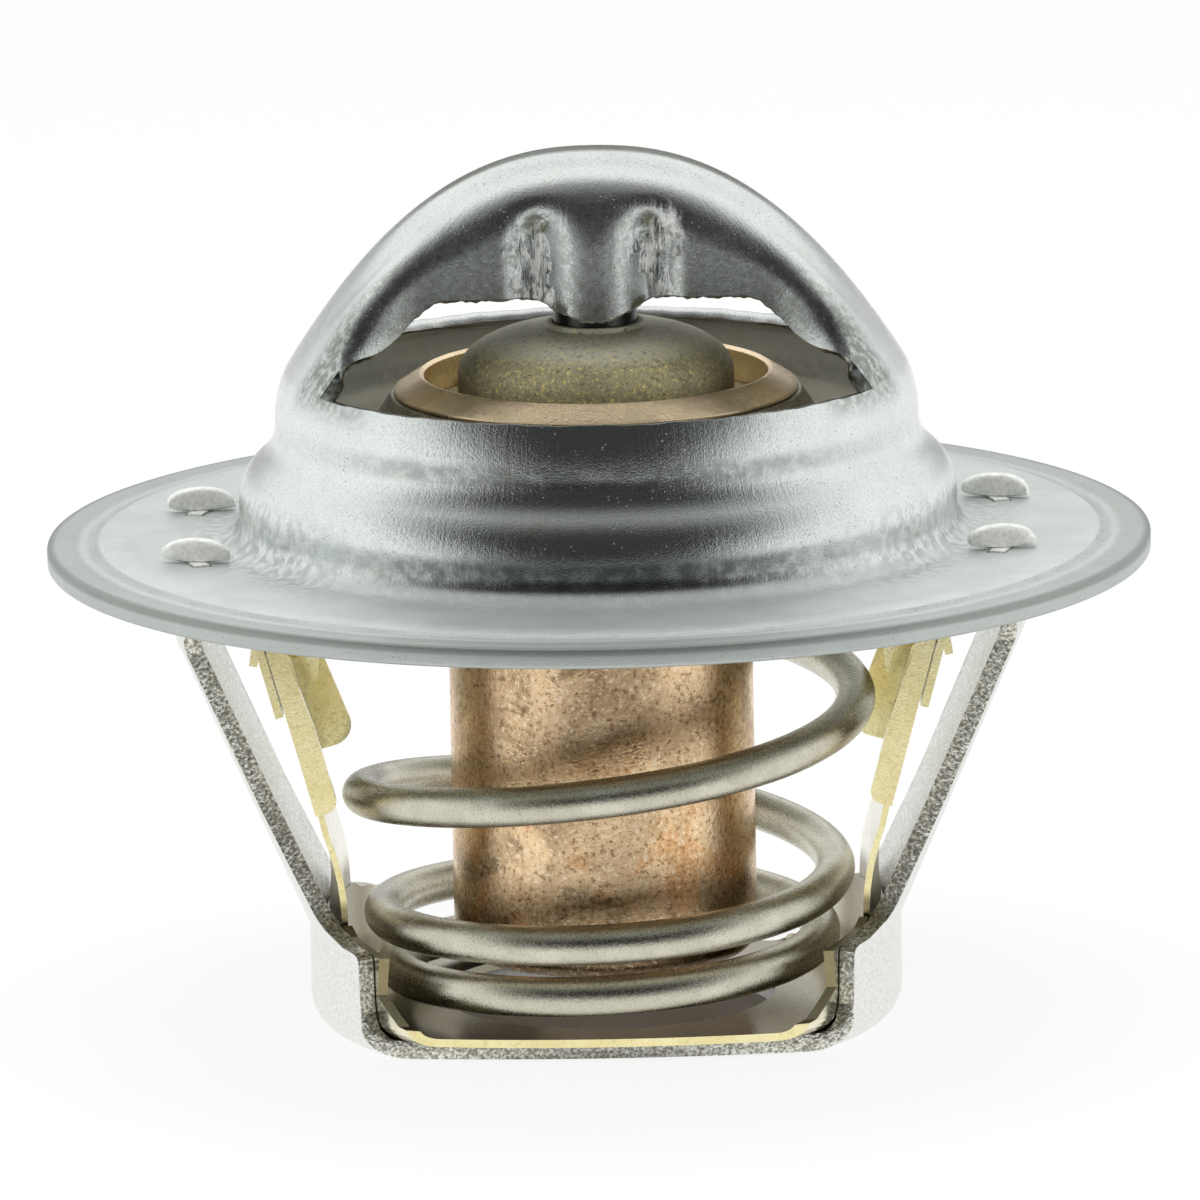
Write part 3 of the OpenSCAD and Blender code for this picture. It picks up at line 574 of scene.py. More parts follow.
def brass_finish():
    """Tumbled brass, olive, with yellow sparkle and a painted pale reflection on its rounded top."""
    f = Finish("tumbled_brass", 0.45, 0.55)
    grain = f.noise(14, 2, 0.6)
    spark = f.cells(7)
    cloud = f.noise(0.5, 3, 0.6, distort=0.5)
    f.color(f.blend(f.ramp(grain, 0.35, 0.65), srgb(176, 171, 136), srgb(140, 135, 104)))
    f.tint(f.ramp(cloud, 0.5, 0.7, 0, 0.5), 126, 122, 100)
    # Painted pale reflection on the dome's rounded top
    f.tint(f.ramp(f.z, 9.0, 9.9, 0, 0.8), 206, 206, 190)
    speck = f.noise(4.5, 3, 0.75)
    f.tint(f.ramp(speck, 0.56, 0.64, 0, 0.85), 226, 208, 128)
    f.tint(f.ramp(speck, 0.42, 0.34, 0, 0.8), 84, 78, 54)
    f.tint(f.ramp(spark, 0.04, 0.16, 0.9, 0), 240, 228, 160)
    f.rough(f.ramp(spark, 0.1, 0.5, 0.4, 0.56))
    f.bump(grain, 0.02).bump(spark, 0.014)
    return f.mat


def disc_finish():
    """Turned stainless disc, its rings catching the light."""
    f = Finish("disc_steel")
    grain = f.noise(8, 3, 0.6)
    turning = f.noise(10, 2, 0.5, at=f.round_coords(0.6, 1, 7))
    f.color(f.blend(f.ramp(turning, 0.35, 0.65), srgb(214, 208, 194), srgb(150, 142, 126)))
    f.tint(f.ramp(f.noise(1.1, 3, 0.6), 0.5, 0.7, 0, 0.5), 150, 122, 92)
    f.rough(f.ramp(grain, 0.3, 0.7, 0.24, 0.4))
    f.bump(turning, 0.02).bump(grain, 0.01)
    return f.mat


def piston_finish():
    f = Finish("piston_steel")
    lines = f.noise(12, 2, 0.5, at=f.round_coords(1.2, 6, 4))
    f.color(f.blend(f.ramp(lines, 0.3, 0.7), srgb(120, 118, 116), srgb(84, 82, 82)))
    f.rough(f.ramp(lines, 0.3, 0.7, 0.22, 0.36))
    f.bump(lines, 0.006)
    return f.mat


def plain_finish(name, light, dark, roughness, scale=4.0):
    f = Finish(name, roughness, 0.0)
    grain = f.noise(scale, 4, 0.6)
    f.color(f.blend(f.ramp(grain, 0.3, 0.7), light, dark))
    f.rough(f.ramp(grain, 0.3, 0.7, roughness * 0.85, min(1.0, roughness * 1.15)))
    f.bump(grain, 0.02)
    return f.mat


def tab_finish():
    """Burnished tab heads, duller than the sheet."""
    f = Finish("burnished_tab", 0.42, 0.5)
    grain = f.noise(5, 4, 0.65)
    f.color(f.blend(f.ramp(grain, 0.35, 0.7), srgb(248, 249, 245), srgb(222, 224, 216)))
    f.bump(grain, 0.03)
    return f.mat


TAB, ZINC, STEEL, CUT = tab_finish(), zinc_finish(), steel_finish(), cut_finish()
GOLD, WIRE = gold_finish(), wire_finish()
COPPER, BRASS, DISC, PISTON = copper_finish(), brass_finish(), disc_finish(), piston_finish()
RUBBER = plain_finish("boot_rubber", srgb(34, 34, 34), srgb(22, 22, 22), 0.7)
PTFE = plain_finish("white_ring", srgb(236, 236, 230), srgb(218, 218, 210), 0.5)
WAX = plain_finish("wax", srgb(222, 196, 140), srgb(204, 176, 118), 0.6, 2.0)

# ---------------------------------------------------------------- housing

ARCH_DROP = BRIDGE_H - RIM_H
ARCH_TURN = math.radians(72)


def arch_height(x):
    return BRIDGE_H - ARCH_DROP * (x / RIM_R) ** ARCH_POWER


def arch_reach(z):
    return RIM_R * (max(BRIDGE_H - z, 0) / ARCH_DROP) ** (1 / ARCH_POWER)


def cheek_low(x):
    fall = WINDOW_DROP * ease((x - WINDOW_X) / WINDOW_FALL) + (1 - WINDOW_DROP) * (
        max(x - WINDOW_X, 0) / (RIM_R - WINDOW_X)
    ) ** 4
    return mix(CHEEK_H - COLUMN_DROP * ease(1 - x / COLUMN_HALF_W), RIM_H, min(fall, 1))


def cheek_edge_y(x):
    return mix(CHEEK_Y, FOOT_HALF_W, ease((x - FLARE_X) / (RIM_R - FLARE_X)))


# Shares of the way over the bridge, from its crown to a cheek's lower edge
CROWN_SHARE, ROUND_SHARE = 3 / 11, 7 / 11


def box_point(x, s):
    w = cheek_edge_y(x)
    flat_w = w - CROWN_ROUND
    crown_z = arch_height(x) - CROWN_DROP
    round_h = min(CROWN_ROUND, EDGE_SHARE * (crown_z - cheek_low(x)))
    if s <= CROWN_SHARE:
        k = s / CROWN_SHARE
        return flat_w * k, crown_z + CROWN_DROP * (1 - k * k)
    if s <= ROUND_SHARE:
        b = math.radians(90 * (s - CROWN_SHARE) / (ROUND_SHARE - CROWN_SHARE))
        return flat_w + CROWN_ROUND * math.sin(b), crown_z - round_h * (1 - math.cos(b))
    k = (s - ROUND_SHARE) / (1 - ROUND_SHARE)
    return w, mix(crown_z - round_h, cheek_low(x), k)


def skin_point(x, s):
    b, share = abs(x), abs(s)
    py, pz = box_point(b, share)
    box = np.array([b * (1 - FOOT_SLANT * (b / RIM_R) ** 4 * share), py, pz])
    z = mix(arch_height(b), cheek_low(b), share * share)
    r = arch_reach(z)
    turn = share * math.asin(FOOT_HALF_W / max(r, FOOT_HALF_W + 1))
    dome = np.array([r * math.cos(turn), r * math.sin(turn), z])
    q = mix(box, dome, ease((b - FOOT_START) / (RIM_R - FOOT_END - FOOT_START)))
    return np.array([math.copysign(q[0], x) if x else 0.0, math.copysign(q[1], s) if s else 0.0, q[2]])


def skin_way(x, s, e=0.02):
    hi = min(x + e, RIM_R)
    lo = max(x - e, -RIM_R)
    along = skin_point(hi, s) - skin_point(lo, s)
    over = skin_point(x, min(s + e, 1)) - skin_point(x, max(s - e, -1))
    n = np.cross(along, over)
    return n / np.linalg.norm(n)


def pinch(x, z):
    fade = ease((BRIDGE_H - PINCH_TOP - z) / PINCH_FADE)
    dent = PINCH_DEPTH * math.exp(-(((abs(x) - PINCH_X) / PINCH_HALF_W) ** 2))
    return fade * (dent - COLUMN_BULGE * math.exp(-((x / COLUMN_BULGE_W) ** 2)))


def wall_way(p):
    """Outward direction of the collar's wall at p."""
    r = math.hypot(p[0], p[1])
    c = math.cos(RIM_LEAN)
    return np.array([p[0] / r * c, p[1] / r * c, math.sin(RIM_LEAN)])


def bridge_point(x, s, t, way=None):
    p = skin_point(x, s)
    thin = CORNER_THIN * ease(2.5 * abs(s) - 1.2) * math.exp(-(((abs(x) - CORNER_X) / CORNER_W) ** 2))
    w = skin_way(x, s) if way is None else way
    at_foot = ease((abs(x) - 14.2) / (RIM_R - 14.2))
    if at_foot:
        w = mix(w, wall_way(p), at_foot)
        w = w / np.linalg.norm(w)
    q = p - t * (1 - thin) * w
    side = ease((abs(s) - 0.2) / 0.25)
    return q - np.array([0, math.copysign(1, s) * side * pinch(p[0], p[2]), 0])


# The collar: a line from the flange's edge up to the windows' rim, and its thickness
neck_r = RIM_R + RIM_ROUND * (1 - math.cos(RIM_LEAN))


def neck(fillet):
    """Centre of the neck's fillet, and the angle at which it meets the shoulder."""
    x = neck_r + fillet
    away = x - (COLLAR_R - SHOULDER_ROUND)
    z = SHOULDER_Z + math.sqrt((SHOULDER_ROUND + fillet) ** 2 - away**2)
    return x, z, math.degrees(math.atan2(z - SHOULDER_Z, away))


SEAT_ANGLE = math.radians(224)
SEAL_GAP = 0.06
seat_x, seat_z, _ = neck(NECK_FILLET)
DISC_R = seat_x + (NECK_FILLET + WALL_T + SEAL_GAP) * math.cos(SEAT_ANGLE)
DISC_Z = seat_z + (NECK_FILLET + WALL_T + SEAL_GAP) * math.sin(SEAT_ANGLE)
# The drawn skin runs through the neck with a softer bend
SOFT_FILLET = 2.2
neck_x, neck_z, neck_angle = neck(SOFT_FILLET)

COLLAR_LINE = (
    [(FLANGE_R - EDGE_ROUND, -BAND_DROP), (25.6, -BAND_DROP), (SEAT_R + BAND_SLOPE + 0.06, -BAND_DROP),
     (SEAT_R + BAND_SLOPE - 0.04, -BAND_DROP + 0.03), (SEAT_R + 0.04, -0.03), (SEAT_R - 0.06, 0), (23.0, 0)]
    + [(22.0, 0), (21.0, 0), (20.0, 0), (19.2, 0)]
    + arc((COLLAR_R + BASE_FILLET, BASE_FILLET), BASE_FILLET, 270, 180, 12)
    + arc((COLLAR_R - SHOULDER_ROUND, SHOULDER_Z), SHOULDER_ROUND, 0, neck_angle, 18)
    + arc((neck_x, neck_z), SOFT_FILLET, 180 + neck_angle, 180, 12)[1:]
    + arc((neck_r - RIM_ROUND, RIM_H - RIM_ROUND * math.sin(RIM_LEAN)), RIM_ROUND,
          0, math.degrees(RIM_LEAN), 9)
)

EDGE_STEPS = 6
FOOT_STEPS = 24
FOOT_ANGLE = math.asin(FOOT_HALF_W / RIM_R)


def build_housing():
    """One sheet: flange, collar and bridge, closed by a rounded cut edge."""
    verts, faces = [], []

    def add(p):
        verts.append(tuple(p))
        return len(verts) - 1

    # Bridge rings. Each has an outer row, a cut edge and an inner row.
    steps = 72
    reach = [RIM_R / math.sin(ARCH_TURN) * math.sin(ARCH_TURN * math.copysign(abs(i / steps) ** 1.25, i))
             for i in range(-steps, steps + 1)]
    reach[0], reach[-1] = -RIM_R, RIM_R
    cols = 2 * FOOT_STEPS
    rings = []
    for x in reach:
        outer = [bridge_point(x, 2 * j / cols - 1, 0) for j in range(cols + 1)]
        inner = [bridge_point(x, 2 * j / cols - 1, WALL_T) for j in range(cols + 1)]
        # The cut edge bulges a little, less at the feet where it meets the rim's
        puff = EDGE_PUFF * (1 - ease((abs(x) - 13.4) / 1.4))
        rag = 1 - ease((abs(x) - 12.6) / 1.6)

        def edge(side):
            a, b = (outer[-1], inner[-1]) if side > 0 else (outer[0], inner[0])
            c = outer[-2] if side > 0 else outer[1]
            down = a - c
            down /= np.linalg.norm(down)
            out = []
            for k in range(1, EDGE_STEPS):
                u = k / EDGE_STEPS
                ragged = EDGE_RAG * rag * math.sin(9.1 * x + 5 * u + side) * math.sin(4.3 * x + 2 * side)
                out.append(mix(a, b, u) + down * (puff + ragged) * math.sin(math.pi * u))
            return out

        rings.append(([add(p) for p in outer], [add(p) for p in edge(1)],
                      [add(p) for p in inner], [add(p) for p in edge(-1)]))

    def loop(ring):
        o, e, i, f = ring
        return o + e + i[::-1] + f[::-1]

    for r0, r1 in zip(rings, rings[1:]):
        a, b = loop(r0), loop(r1)
        for k in range(len(a)):
            j = (k + 1) % len(a)
            faces.append((a[k], a[j], b[j], b[k]))

    # Collar columns: those under a foot end in the foot's ring, the others in the rim's cut edge
    n, flange_points = len(COLLAR_LINE), 14
    sheet_line = sheet(COLLAR_LINE, [FLANGE_T] * flange_points + [WALL_T] * (n - flange_points))
    inner_line = sheet_line[n:][::-1]
    edge_round = arc((FLANGE_R - EDGE_ROUND, -BAND_DROP - EDGE_ROUND), EDGE_ROUND, 0, 90, 4)[:-1]
    edge_low = arc((FLANGE_R - EDGE_ROUND, -BAND_DROP - FLANGE_T + EDGE_ROUND), EDGE_ROUND, -90, 0, 4)
    rim_out, rim_in = np.array(COLLAR_LINE[-1]), np.array(inner_line[-1])

    window = math.pi - 2 * FOOT_ANGLE
    m = 112
    columns = []
    for side in (1, -1):
        base = 0 if side > 0 else math.pi
        columns += [(base + FOOT_ANGLE * (2 * j / cols - 1), (side, j)) for j in range(cols + 1)]
        columns += [(base + FOOT_ANGLE + window * k / m, None) for k in range(1, m)]

    lower = edge_low + edge_round
    grid = []
    for a, foot in columns:
        c, s = math.cos(a), math.sin(a)
        near = 1.0
        if foot is None:
            off = min(abs((a - b + math.pi) % (2 * math.pi) - math.pi) for b in
                      (FOOT_ANGLE, -FOOT_ANGLE, math.pi - FOOT_ANGLE, math.pi + FOOT_ANGLE))
            near = 1 - ease(off * RIM_R / 1.2)
        out_rows = [add((r * c, r * s, z)) for r, z in lower + COLLAR_LINE[:-1]]
        in_rows = [add((r * c, r * s, z)) for r, z in inner_line[:-1]]
        if foot:
            side, j = foot
            ring = rings[-1] if side > 0 else rings[0]
            k = j if side > 0 else cols - j
            out_rows.append(ring[0][k])
            in_rows.append(ring[2][k])
            middle = []
            if j in (0, cols):
                middle = ring[1] if k == cols else ring[3]
        else:
            up = np.array([-(rim_in - rim_out)[1], (rim_in - rim_out)[0]])
            up = -up / np.linalg.norm(up)
            lift = RIM_PUFF * (1 - near)
            wave = 0.02 * math.sin(23 * a) + 0.015 * math.sin(61 * a + 1)
            out_rows.append(add((rim_out[0] * c, rim_out[0] * s, rim_out[1] + wave * (1 - near))))
            in_rows.append(add((rim_in[0] * c, rim_in[0] * s, rim_in[1] + wave * (1 - near))))
            middle = []
            for k in range(1, EDGE_STEPS):
                u = k / EDGE_STEPS
                q = mix(rim_out, rim_in, u) + up * lift * math.sin(math.pi * u)
                middle.append(add((q[0] * c, q[0] * s, q[1] + wave * (1 - near))))
        grid.append((out_rows, middle, in_rows, foot))

    count = len(grid)
    for i in range(count):
        o0, e0, i0, f0 = grid[i]
        o1, e1, i1, f1 = grid[(i + 1) % count]
        for k in range(len(o0) - 1):
            faces.append((o0[k], o1[k], o1[k + 1], o0[k + 1]))
        for k in range(len(i0) - 1):
            faces.append((i0[k], i0[k + 1], i1[k + 1], i1[k]))
        faces.append((i0[0], i1[0], o1[0], o0[0]))
        if f0 and f1:
            continue
        a, b = [o0[-1]] + e0 + [i0[-1]], [o1[-1]] + e1 + [i1[-1]]
        for k in range(len(a) - 1):
            faces.append((a[k], b[k], b[k + 1], a[k + 1]))

    body = loose("housing_shell", verts, faces)
    for base in (0, math.pi):
        for a in (-TAB_ANGLE, TAB_ANGLE):
            v, f = box_mesh((TAB_R - 0.5, -1.22, -3), (TAB_R + 0.5, 1.22, 2))
            combine(body, loose("slot", turn_z(v, base + math.radians(a)), f), "DIFFERENCE")
    return finish_piece(body, ZINC, "housing", ["housing"], sharp=40)


build_housing()

# ---------------------------------------------------------------- turned pieces


def lathe(name, outline, material, body, node, segments=192, corner=0.08):
    points = resampled(rounded(outline, corner), LATHE_STEP)
    return finish_piece(loose(name, *turned(points, segments)), material, body, [node])


LATHE_STEP = 0.6
BARREL_R = MOUTH_R + CASE_T
LIP_Z = DISC_RING_Z + 0.03
CASE_LINE = (
    [(0, CASE_Z), (3, CASE_Z)]
    + arc((CASE_R - CASE_CORNER, CASE_Z + CASE_CORNER), CASE_CORNER, -90, 0, 8)
    + [(CASE_R, SHOULDER_LOW), (BARREL_R, SHOULDER_HIGH), (BARREL_R, LIP_Z)]
)
case_wall = sheet(CASE_LINE, CASE_T)
case_lip = [(LIP_R, LIP_Z), (LIP_R, LIP_Z + LIP_EDGE), (LIP_TOP_R, LIP_TOP_Z), (MOUTH_R, LIP_TOP_Z - 0.12)]
lathe("case_copper", CASE_LINE + case_lip + case_wall[len(CASE_LINE):], COPPER, "valve", "element_case")

inner = BARREL_R + 0.03
lathe("disc_plate", sheet([(DISC_R, DISC_Z), (DISC_SLOPE_END, DISC_Z), (inner + DISC_RING_W, DISC_RING_Z),
                           (inner, DISC_RING_Z)], DISC_T), DISC, "valve", "valve_disc", corner=0.15)

BORE_R = PISTON_R + 0.05
BOOT_FLANGE_T = 0.8
GUIDE_LOW = SHOULDER_HIGH + 0.45 + BOOT_FLANGE_T
NECK_R = PISTON_R + 0.35
guide_foot = GUIDE_LOW + 0.43
dome_turns = [math.radians(a) for a in range(0, 91, 5)]
dome_line = [(mix(NECK_R, GUIDE_R, math.cos(a)), mix(GUIDE_SIDE, GUIDE_TOP, math.sin(a))) for a in dome_turns]
lathe("guide_brass",
      [(BORE_R, guide_foot), (MOUTH_R - 0.03, guide_foot), (MOUTH_R - 0.03, GUIDE_LOW + 1.1),
       (GUIDE_R, GUIDE_LOW + 1.1)]
      + dome_line + [(NECK_R, GUIDE_TOP + GUIDE_NECK_H), (BORE_R, GUIDE_TOP + GUIDE_NECK_H)],
      BRASS, "valve", "guide_dome", corner=0.06)

PISTON_TOP = BRIDGE_H - WALL_T - 0.2
PISTON_END = PISTON_TOP - PISTON_L
lathe("piston_rod", [(0, PISTON_END), (PISTON_R - 0.4, PISTON_END), (PISTON_R, PISTON_END + 0.8),
                     (PISTON_R, PISTON_TOP - TIP_L), (TIP_R, PISTON_TOP), (0, PISTON_TOP)],
      PISTON, "housing", "piston", segments=96, corner=0.05)

# ---------------------------------------------------------------- spring


def build_spring():
    strap_top = BASE_Z + STIRRUP_T + STRAP_T
    low_z = strap_top + WIRE_D / 2 + 0.03
    top_z = DISC_Z - DISC_T - WIRE_D / 2 - 0.03
    step = 4.0
    count = round(SPRING_TURNS * 360 / step)
    climb = [0.0]
    for i in range(count):
        t = (i + 0.5) * step / 360
        climb.append(climb[-1] + mix(CLOSED_PITCH, ACTIVE_PITCH, ease((t - LOW_CLOSED) / PITCH_BLEND)
                                     * (1 - ease((t - TOP_CLOSED) / PITCH_BLEND))))
    sides = 28
    verts, faces, lift = [], [], []
    centres = []
    for i in range(count + 1):
        turns = i * step / 360
        a = math.radians(SPRING_START + 360 * turns)
        z = mix(low_z, top_z, climb[i] / climb[-1])
        flare = min(turns / SPRING_WIDE, 1) ** SPRING_FLARE
        r = (mix(SPRING_LOW_D, SPRING_TOP_D, flare) - WIRE_D) / 2
        centres.append((np.array([r * math.cos(a), r * math.sin(a), z]), a, (z - low_z) / (top_z - low_z)))
    tangents = [centres[min(i + 1, count)][0] - centres[max(i - 1, 0)][0] for i in range(count + 1)]
    # The cut ends are drawn in a little, with a small bevel
    stations = [(0, 0, 0.86), (0, 0.12, 1.0)] + [(i, 0, 1.0) for i in range(1, count)]
    stations += [(count, -0.12, 1.0), (count, 0, 0.86)]
    for i, along, size in stations:
        c, a, share = centres[i]
        t = tangents[i] / np.linalg.norm(tangents[i])
        out = np.array([math.cos(a), math.sin(a), 0])
        up = np.cross(out, t)
        if up[2] < 0:
            up = -up
        for j in range(sides):
            b = 2 * math.pi * j / sides
            p = c + t * along + WIRE_D / 2 * size * (out * math.cos(b) + up * math.sin(b))
            verts.append(p)
            lift.append(share)
    rings = len(stations)
    for i in range(rings - 1):
        for j in range(sides):
            k = (j + 1) % sides
            faces.append((i * sides + j, (i + 1) * sides + j, (i + 1) * sides + k, i * sides + k))
    faces.append(tuple(range(sides)))
    faces.append(tuple(range((rings - 1) * sides, rings * sides))[::-1])
    obj = finish_piece(loose("spring_wire", verts, faces), WIRE, None, [], sharp=50)
    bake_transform(obj, "housing", "valve", start=(0, 0, low_z * MM), end=(0, 0, top_z * MM))
    # A whole ring of the wire moves as one, so that the wire stays round
    shares = obj.data.attributes["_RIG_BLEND"]
    values = [0.0] * len(obj.data.vertices)
    index = np.array([c[0] for c in centres]) * MM
    for v in obj.data.vertices:
        near = np.argmin(((index - np.array(v.co)) ** 2).sum(1))
        values[v.index] = centres[near][2]
    shares.data.foreach_set("value", values)
    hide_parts("main_spring")
    return obj


build_spring()

# ---------------------------------------------------------------- stirrup


def bowed_plan(half_w, r, reach, n=24):
    """Plan of a base whose front and rear edges bow out by circles of radius r."""
    xs = [mix(-reach, reach, i / n) for i in range(n + 1)]
    edge = [(x, half_w - r + math.sqrt(r * r - x * x)) for x in xs]
    return [(x, -y) for x, y in edge] + [(x, y) for x, y in reversed(edge)]


def tab_head(height, n=16):
    """Leaf-shaped outline of a tab's turned head, its inner end lower: (length, height) points."""
    half = TAB_L / 2
    upper, lower = [], []
    for i in range(1, n):
        t = i / n
        u = half * math.cos(math.pi * (1 - t))
        tip = mix(0.42, 0.16, t)
        rise = math.sin(math.pi * t) ** 0.8
        upper.append((u, mix(tip, height, rise)))
        lower.append((u, mix(tip, 0.05, rise)))
    return [(-half, 0.42)] + lower + [(half, 0.16)] + upper[::-1]


def flank(half, line, a, b):
    """What is cut away beside a leg, along rays from the axis, square to the bent sheet."""
    verts = []
    for x in (8, 30):
        for y, z in half:
            r = float(np.interp(z, [q[1] for q in line], [q[0] for q in line]))
            verts.append((a * x, b * x * y / math.sqrt(max(r * r - y * y, 1)), z))
    n = len(half)
    faces = []
    for i in range(n):
        j = (i + 1) % n
        faces += [(i, j, n + j), (i, n + j, n + i)]
    return verts, faces + [tuple(range(n))[::-1], tuple(range(n, 2 * n))]


def build_stirrup():
    """The drawn sheet, cut to its side view and plan, with its cut faces apart from its skins."""
    leg_top = TAB_R + STIRRUP_T / 2
    c, s = math.cos(LEG_LEAN), math.sin(LEG_LEAN)
    knee = (leg_top - LEG_BEND * (1 - c), PRONG_Z - LEG_BEND * s)
    foot_x = CUP_R + FOOT_BEND * (1 - c)
    foot_z = knee[1] - (knee[0] - foot_x) / math.tan(LEG_LEAN) - FOOT_BEND * s
    lean = math.degrees(LEG_LEAN)
    line = (
        [(HOLE_R, BASE_Z), (10.0, BASE_Z), (11.5, BASE_Z)]
        + arc((CUP_R - CUP_CORNER, BASE_Z + CUP_CORNER), CUP_CORNER, -90, 0, 10)
        + arc((CUP_R + FOOT_BEND, foot_z), FOOT_BEND, 180, 180 - lean, 8)
        + arc((leg_top - LEG_BEND, PRONG_Z), LEG_BEND, -lean, 0, 8)
        + [(leg_top, -FLANGE_T - 0.03)]
    )
    body = loose("stirrup_sheet", *turned(resampled(sheet(line, STIRRUP_T), 1.2), 240))
    body.data.materials.append(STEEL)

    root_z = BASE_Z + ROOT_UP
    half = [(BASE_HALF_W - 0.45, BASE_Z + 0.9), (CORNER_HALF_W + 0.15, BASE_Z + 2.2),
            (CORNER_HALF_W, BASE_Z + CORNER_UP), (LEG_W / 2 + 0.9, root_z - 0.9),
            (LEG_W / 2 + 0.15, root_z - 0.4), (LEG_W / 2, root_z + 0.4), (LEG_W / 2, PRONG_Z - 0.8),
            (LEG_W / 2 + 0.3, PRONG_Z), (PRONG_HALF_W, PRONG_Z + 1.8), (PRONG_HALF_W, 1)]
    half = rounded([(40, BASE_Z + 0.9)] + half + [(40, 1)], 0.5, 4, 12)
    notch = [(NOTCH_R, 2), (-NOTCH_R, 2)] + arc((0, NOTCH_Z), NOTCH_R, 180, 360, 24)
    cuts = [(prism(bowed_plan(BASE_HALF_W, BASE_BOW_R, 26), -30, 3, "z"), "INTERSECT"),
            (prism(notch, -30, 30, "x"), "DIFFERENCE")]
    cuts += [(flank(half, line, a, b), "DIFFERENCE") for a in (1, -1) for b in (1, -1)]
    for shape, how in cuts:
        cutter = loose("cutter", *shape)
        cutter.data.materials.append(CUT)
        combine(body, cutter, how)

    bevel = body.modifiers.new("edge", "BEVEL")
    bevel.width, bevel.segments, bevel.limit_method = EDGE_BEVEL * MM, 2, "ANGLE"
    bevel.material = 0
    bevel.angle_limit = math.radians(50)
    apply_modifiers(body)

    body.data.materials.append(TAB)
    bm = bmesh.new()
    bm.from_mesh(body.data)
    for base in (0, math.pi):
        for a in (-TAB_ANGLE, TAB_ANGLE):
            for verts, faces in tab_parts(base + math.radians(a)):
                made = [bm.verts.new(tuple(np.array(v) * MM)) for v in verts]
                for f in faces:
                    bm.faces.new([made[i] for i in f]).material_index = len(body.data.materials) - 1
    bm.to_mesh(body.data)
    bm.free()
    return finish_piece(body, None, "housing", ["stirrup"], sharp=42)


def tab_parts(turn):
    """Neck and turned head of the tab at an angle about the axis."""
    half_t = (STIRRUP_T - 0.1) / 2
    neck, neck_faces = box_mesh((-half_t, -TAB_W / 2, -FLANGE_T - 0.4), (half_t, TAB_W / 2, 0.07))
    outline = tab_head(TAB_H)
    n = len(outline)
    mid = np.mean(outline, axis=0)
    # The head's two faces are crowned: its outline shrinks towards them
    head = []
    for depth, shrink in ((-half_t, 0.5), (-half_t * 0.93, 0.8), (-half_t * 0.7, 0.96), (-half_t * 0.3, 1.0),
                          (half_t * 0.3, 1.0), (half_t * 0.7, 0.96), (half_t * 0.93, 0.8), (half_t, 0.5)):
        for p in outline:
            q = mid + (np.array(p) - mid) * shrink
            u, z = q[0], max(q[1], 0.04)
            lean = 0.28 * (z / TAB_H)
            head.append((u, depth + lean, z))
    rows = len(head) // n
    faces = [(i * n + j, i * n + (j + 1) % n, (i + 1) * n + (j + 1) % n, (i + 1) * n + j)
             for i in range(rows - 1) for j in range(n)]
    faces += [tuple(range(n))[::-1], tuple(range((rows - 1) * n, rows * n))]
    # The head's length lies at TAB_TURN from the slot, which is tangential
    facing = -1 if math.cos(turn) < 0 else 1
    swing = math.pi / 2 - TAB_TURN
    head = turn_z(head, swing * facing * (1 if math.sin(turn) < 0 else -1))
    centre = (TAB_R * math.cos(turn), TAB_R * math.sin(turn))
    head = [(x + centre[0], y + centre[1], z) for x, y, z in head]
    neck = turn_z([(x + TAB_R, y, z) for x, y, z in neck], turn)
    return (neck, neck_faces), (head, faces)


build_stirrup()

# ---------------------------------------------------------------- frame nodes that stay

KEPT = {"locking_strap": GOLD, "boot": RUBBER, "back_up_ring": PTFE, "wax_charge": WAX}
for name, material in KEPT.items():
    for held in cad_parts[name].material_slots:
        held.material = material

# ---------------------------------------------------------------- floor, light and camera


class Studio(Nodes):
    """The floor's material or the world."""

    def __init__(self, tree):
        super().__init__(tree)
        self.nodes.clear()
        path = self.nodes.new("ShaderNodeLightPath").outputs
        self.camera_ray, self.glossy_ray = path["Is Camera Ray"], path["Is Glossy Ray"]

    def beside(self, across, ahead):
        """One straight ahead of the object, nothing well to its sides."""
        share = self.math("DIVIDE", self.math("ABSOLUTE", across), self.math("MAXIMUM", ahead, 0.001))
        return self.ramp(share, FRONT_FULL, FRONT_GONE, 1.0, 0.0)

    def shader(self, kind, level, strength=None):
        """A grey of one level."""
        n = self.nodes.new(kind)
        n.inputs["Color"].default_value = (level, level, level, 1)
        if strength is not None:
            self.put(n.inputs["Strength"], strength)
        return n.outputs[0]

    def mixed(self, fac, a, b):
        n = self.nodes.new("ShaderNodeMixShader")
        for socket, value in zip(n.inputs, (fac, a, b)):
            self.put(socket, value)
        return n.outputs[0]


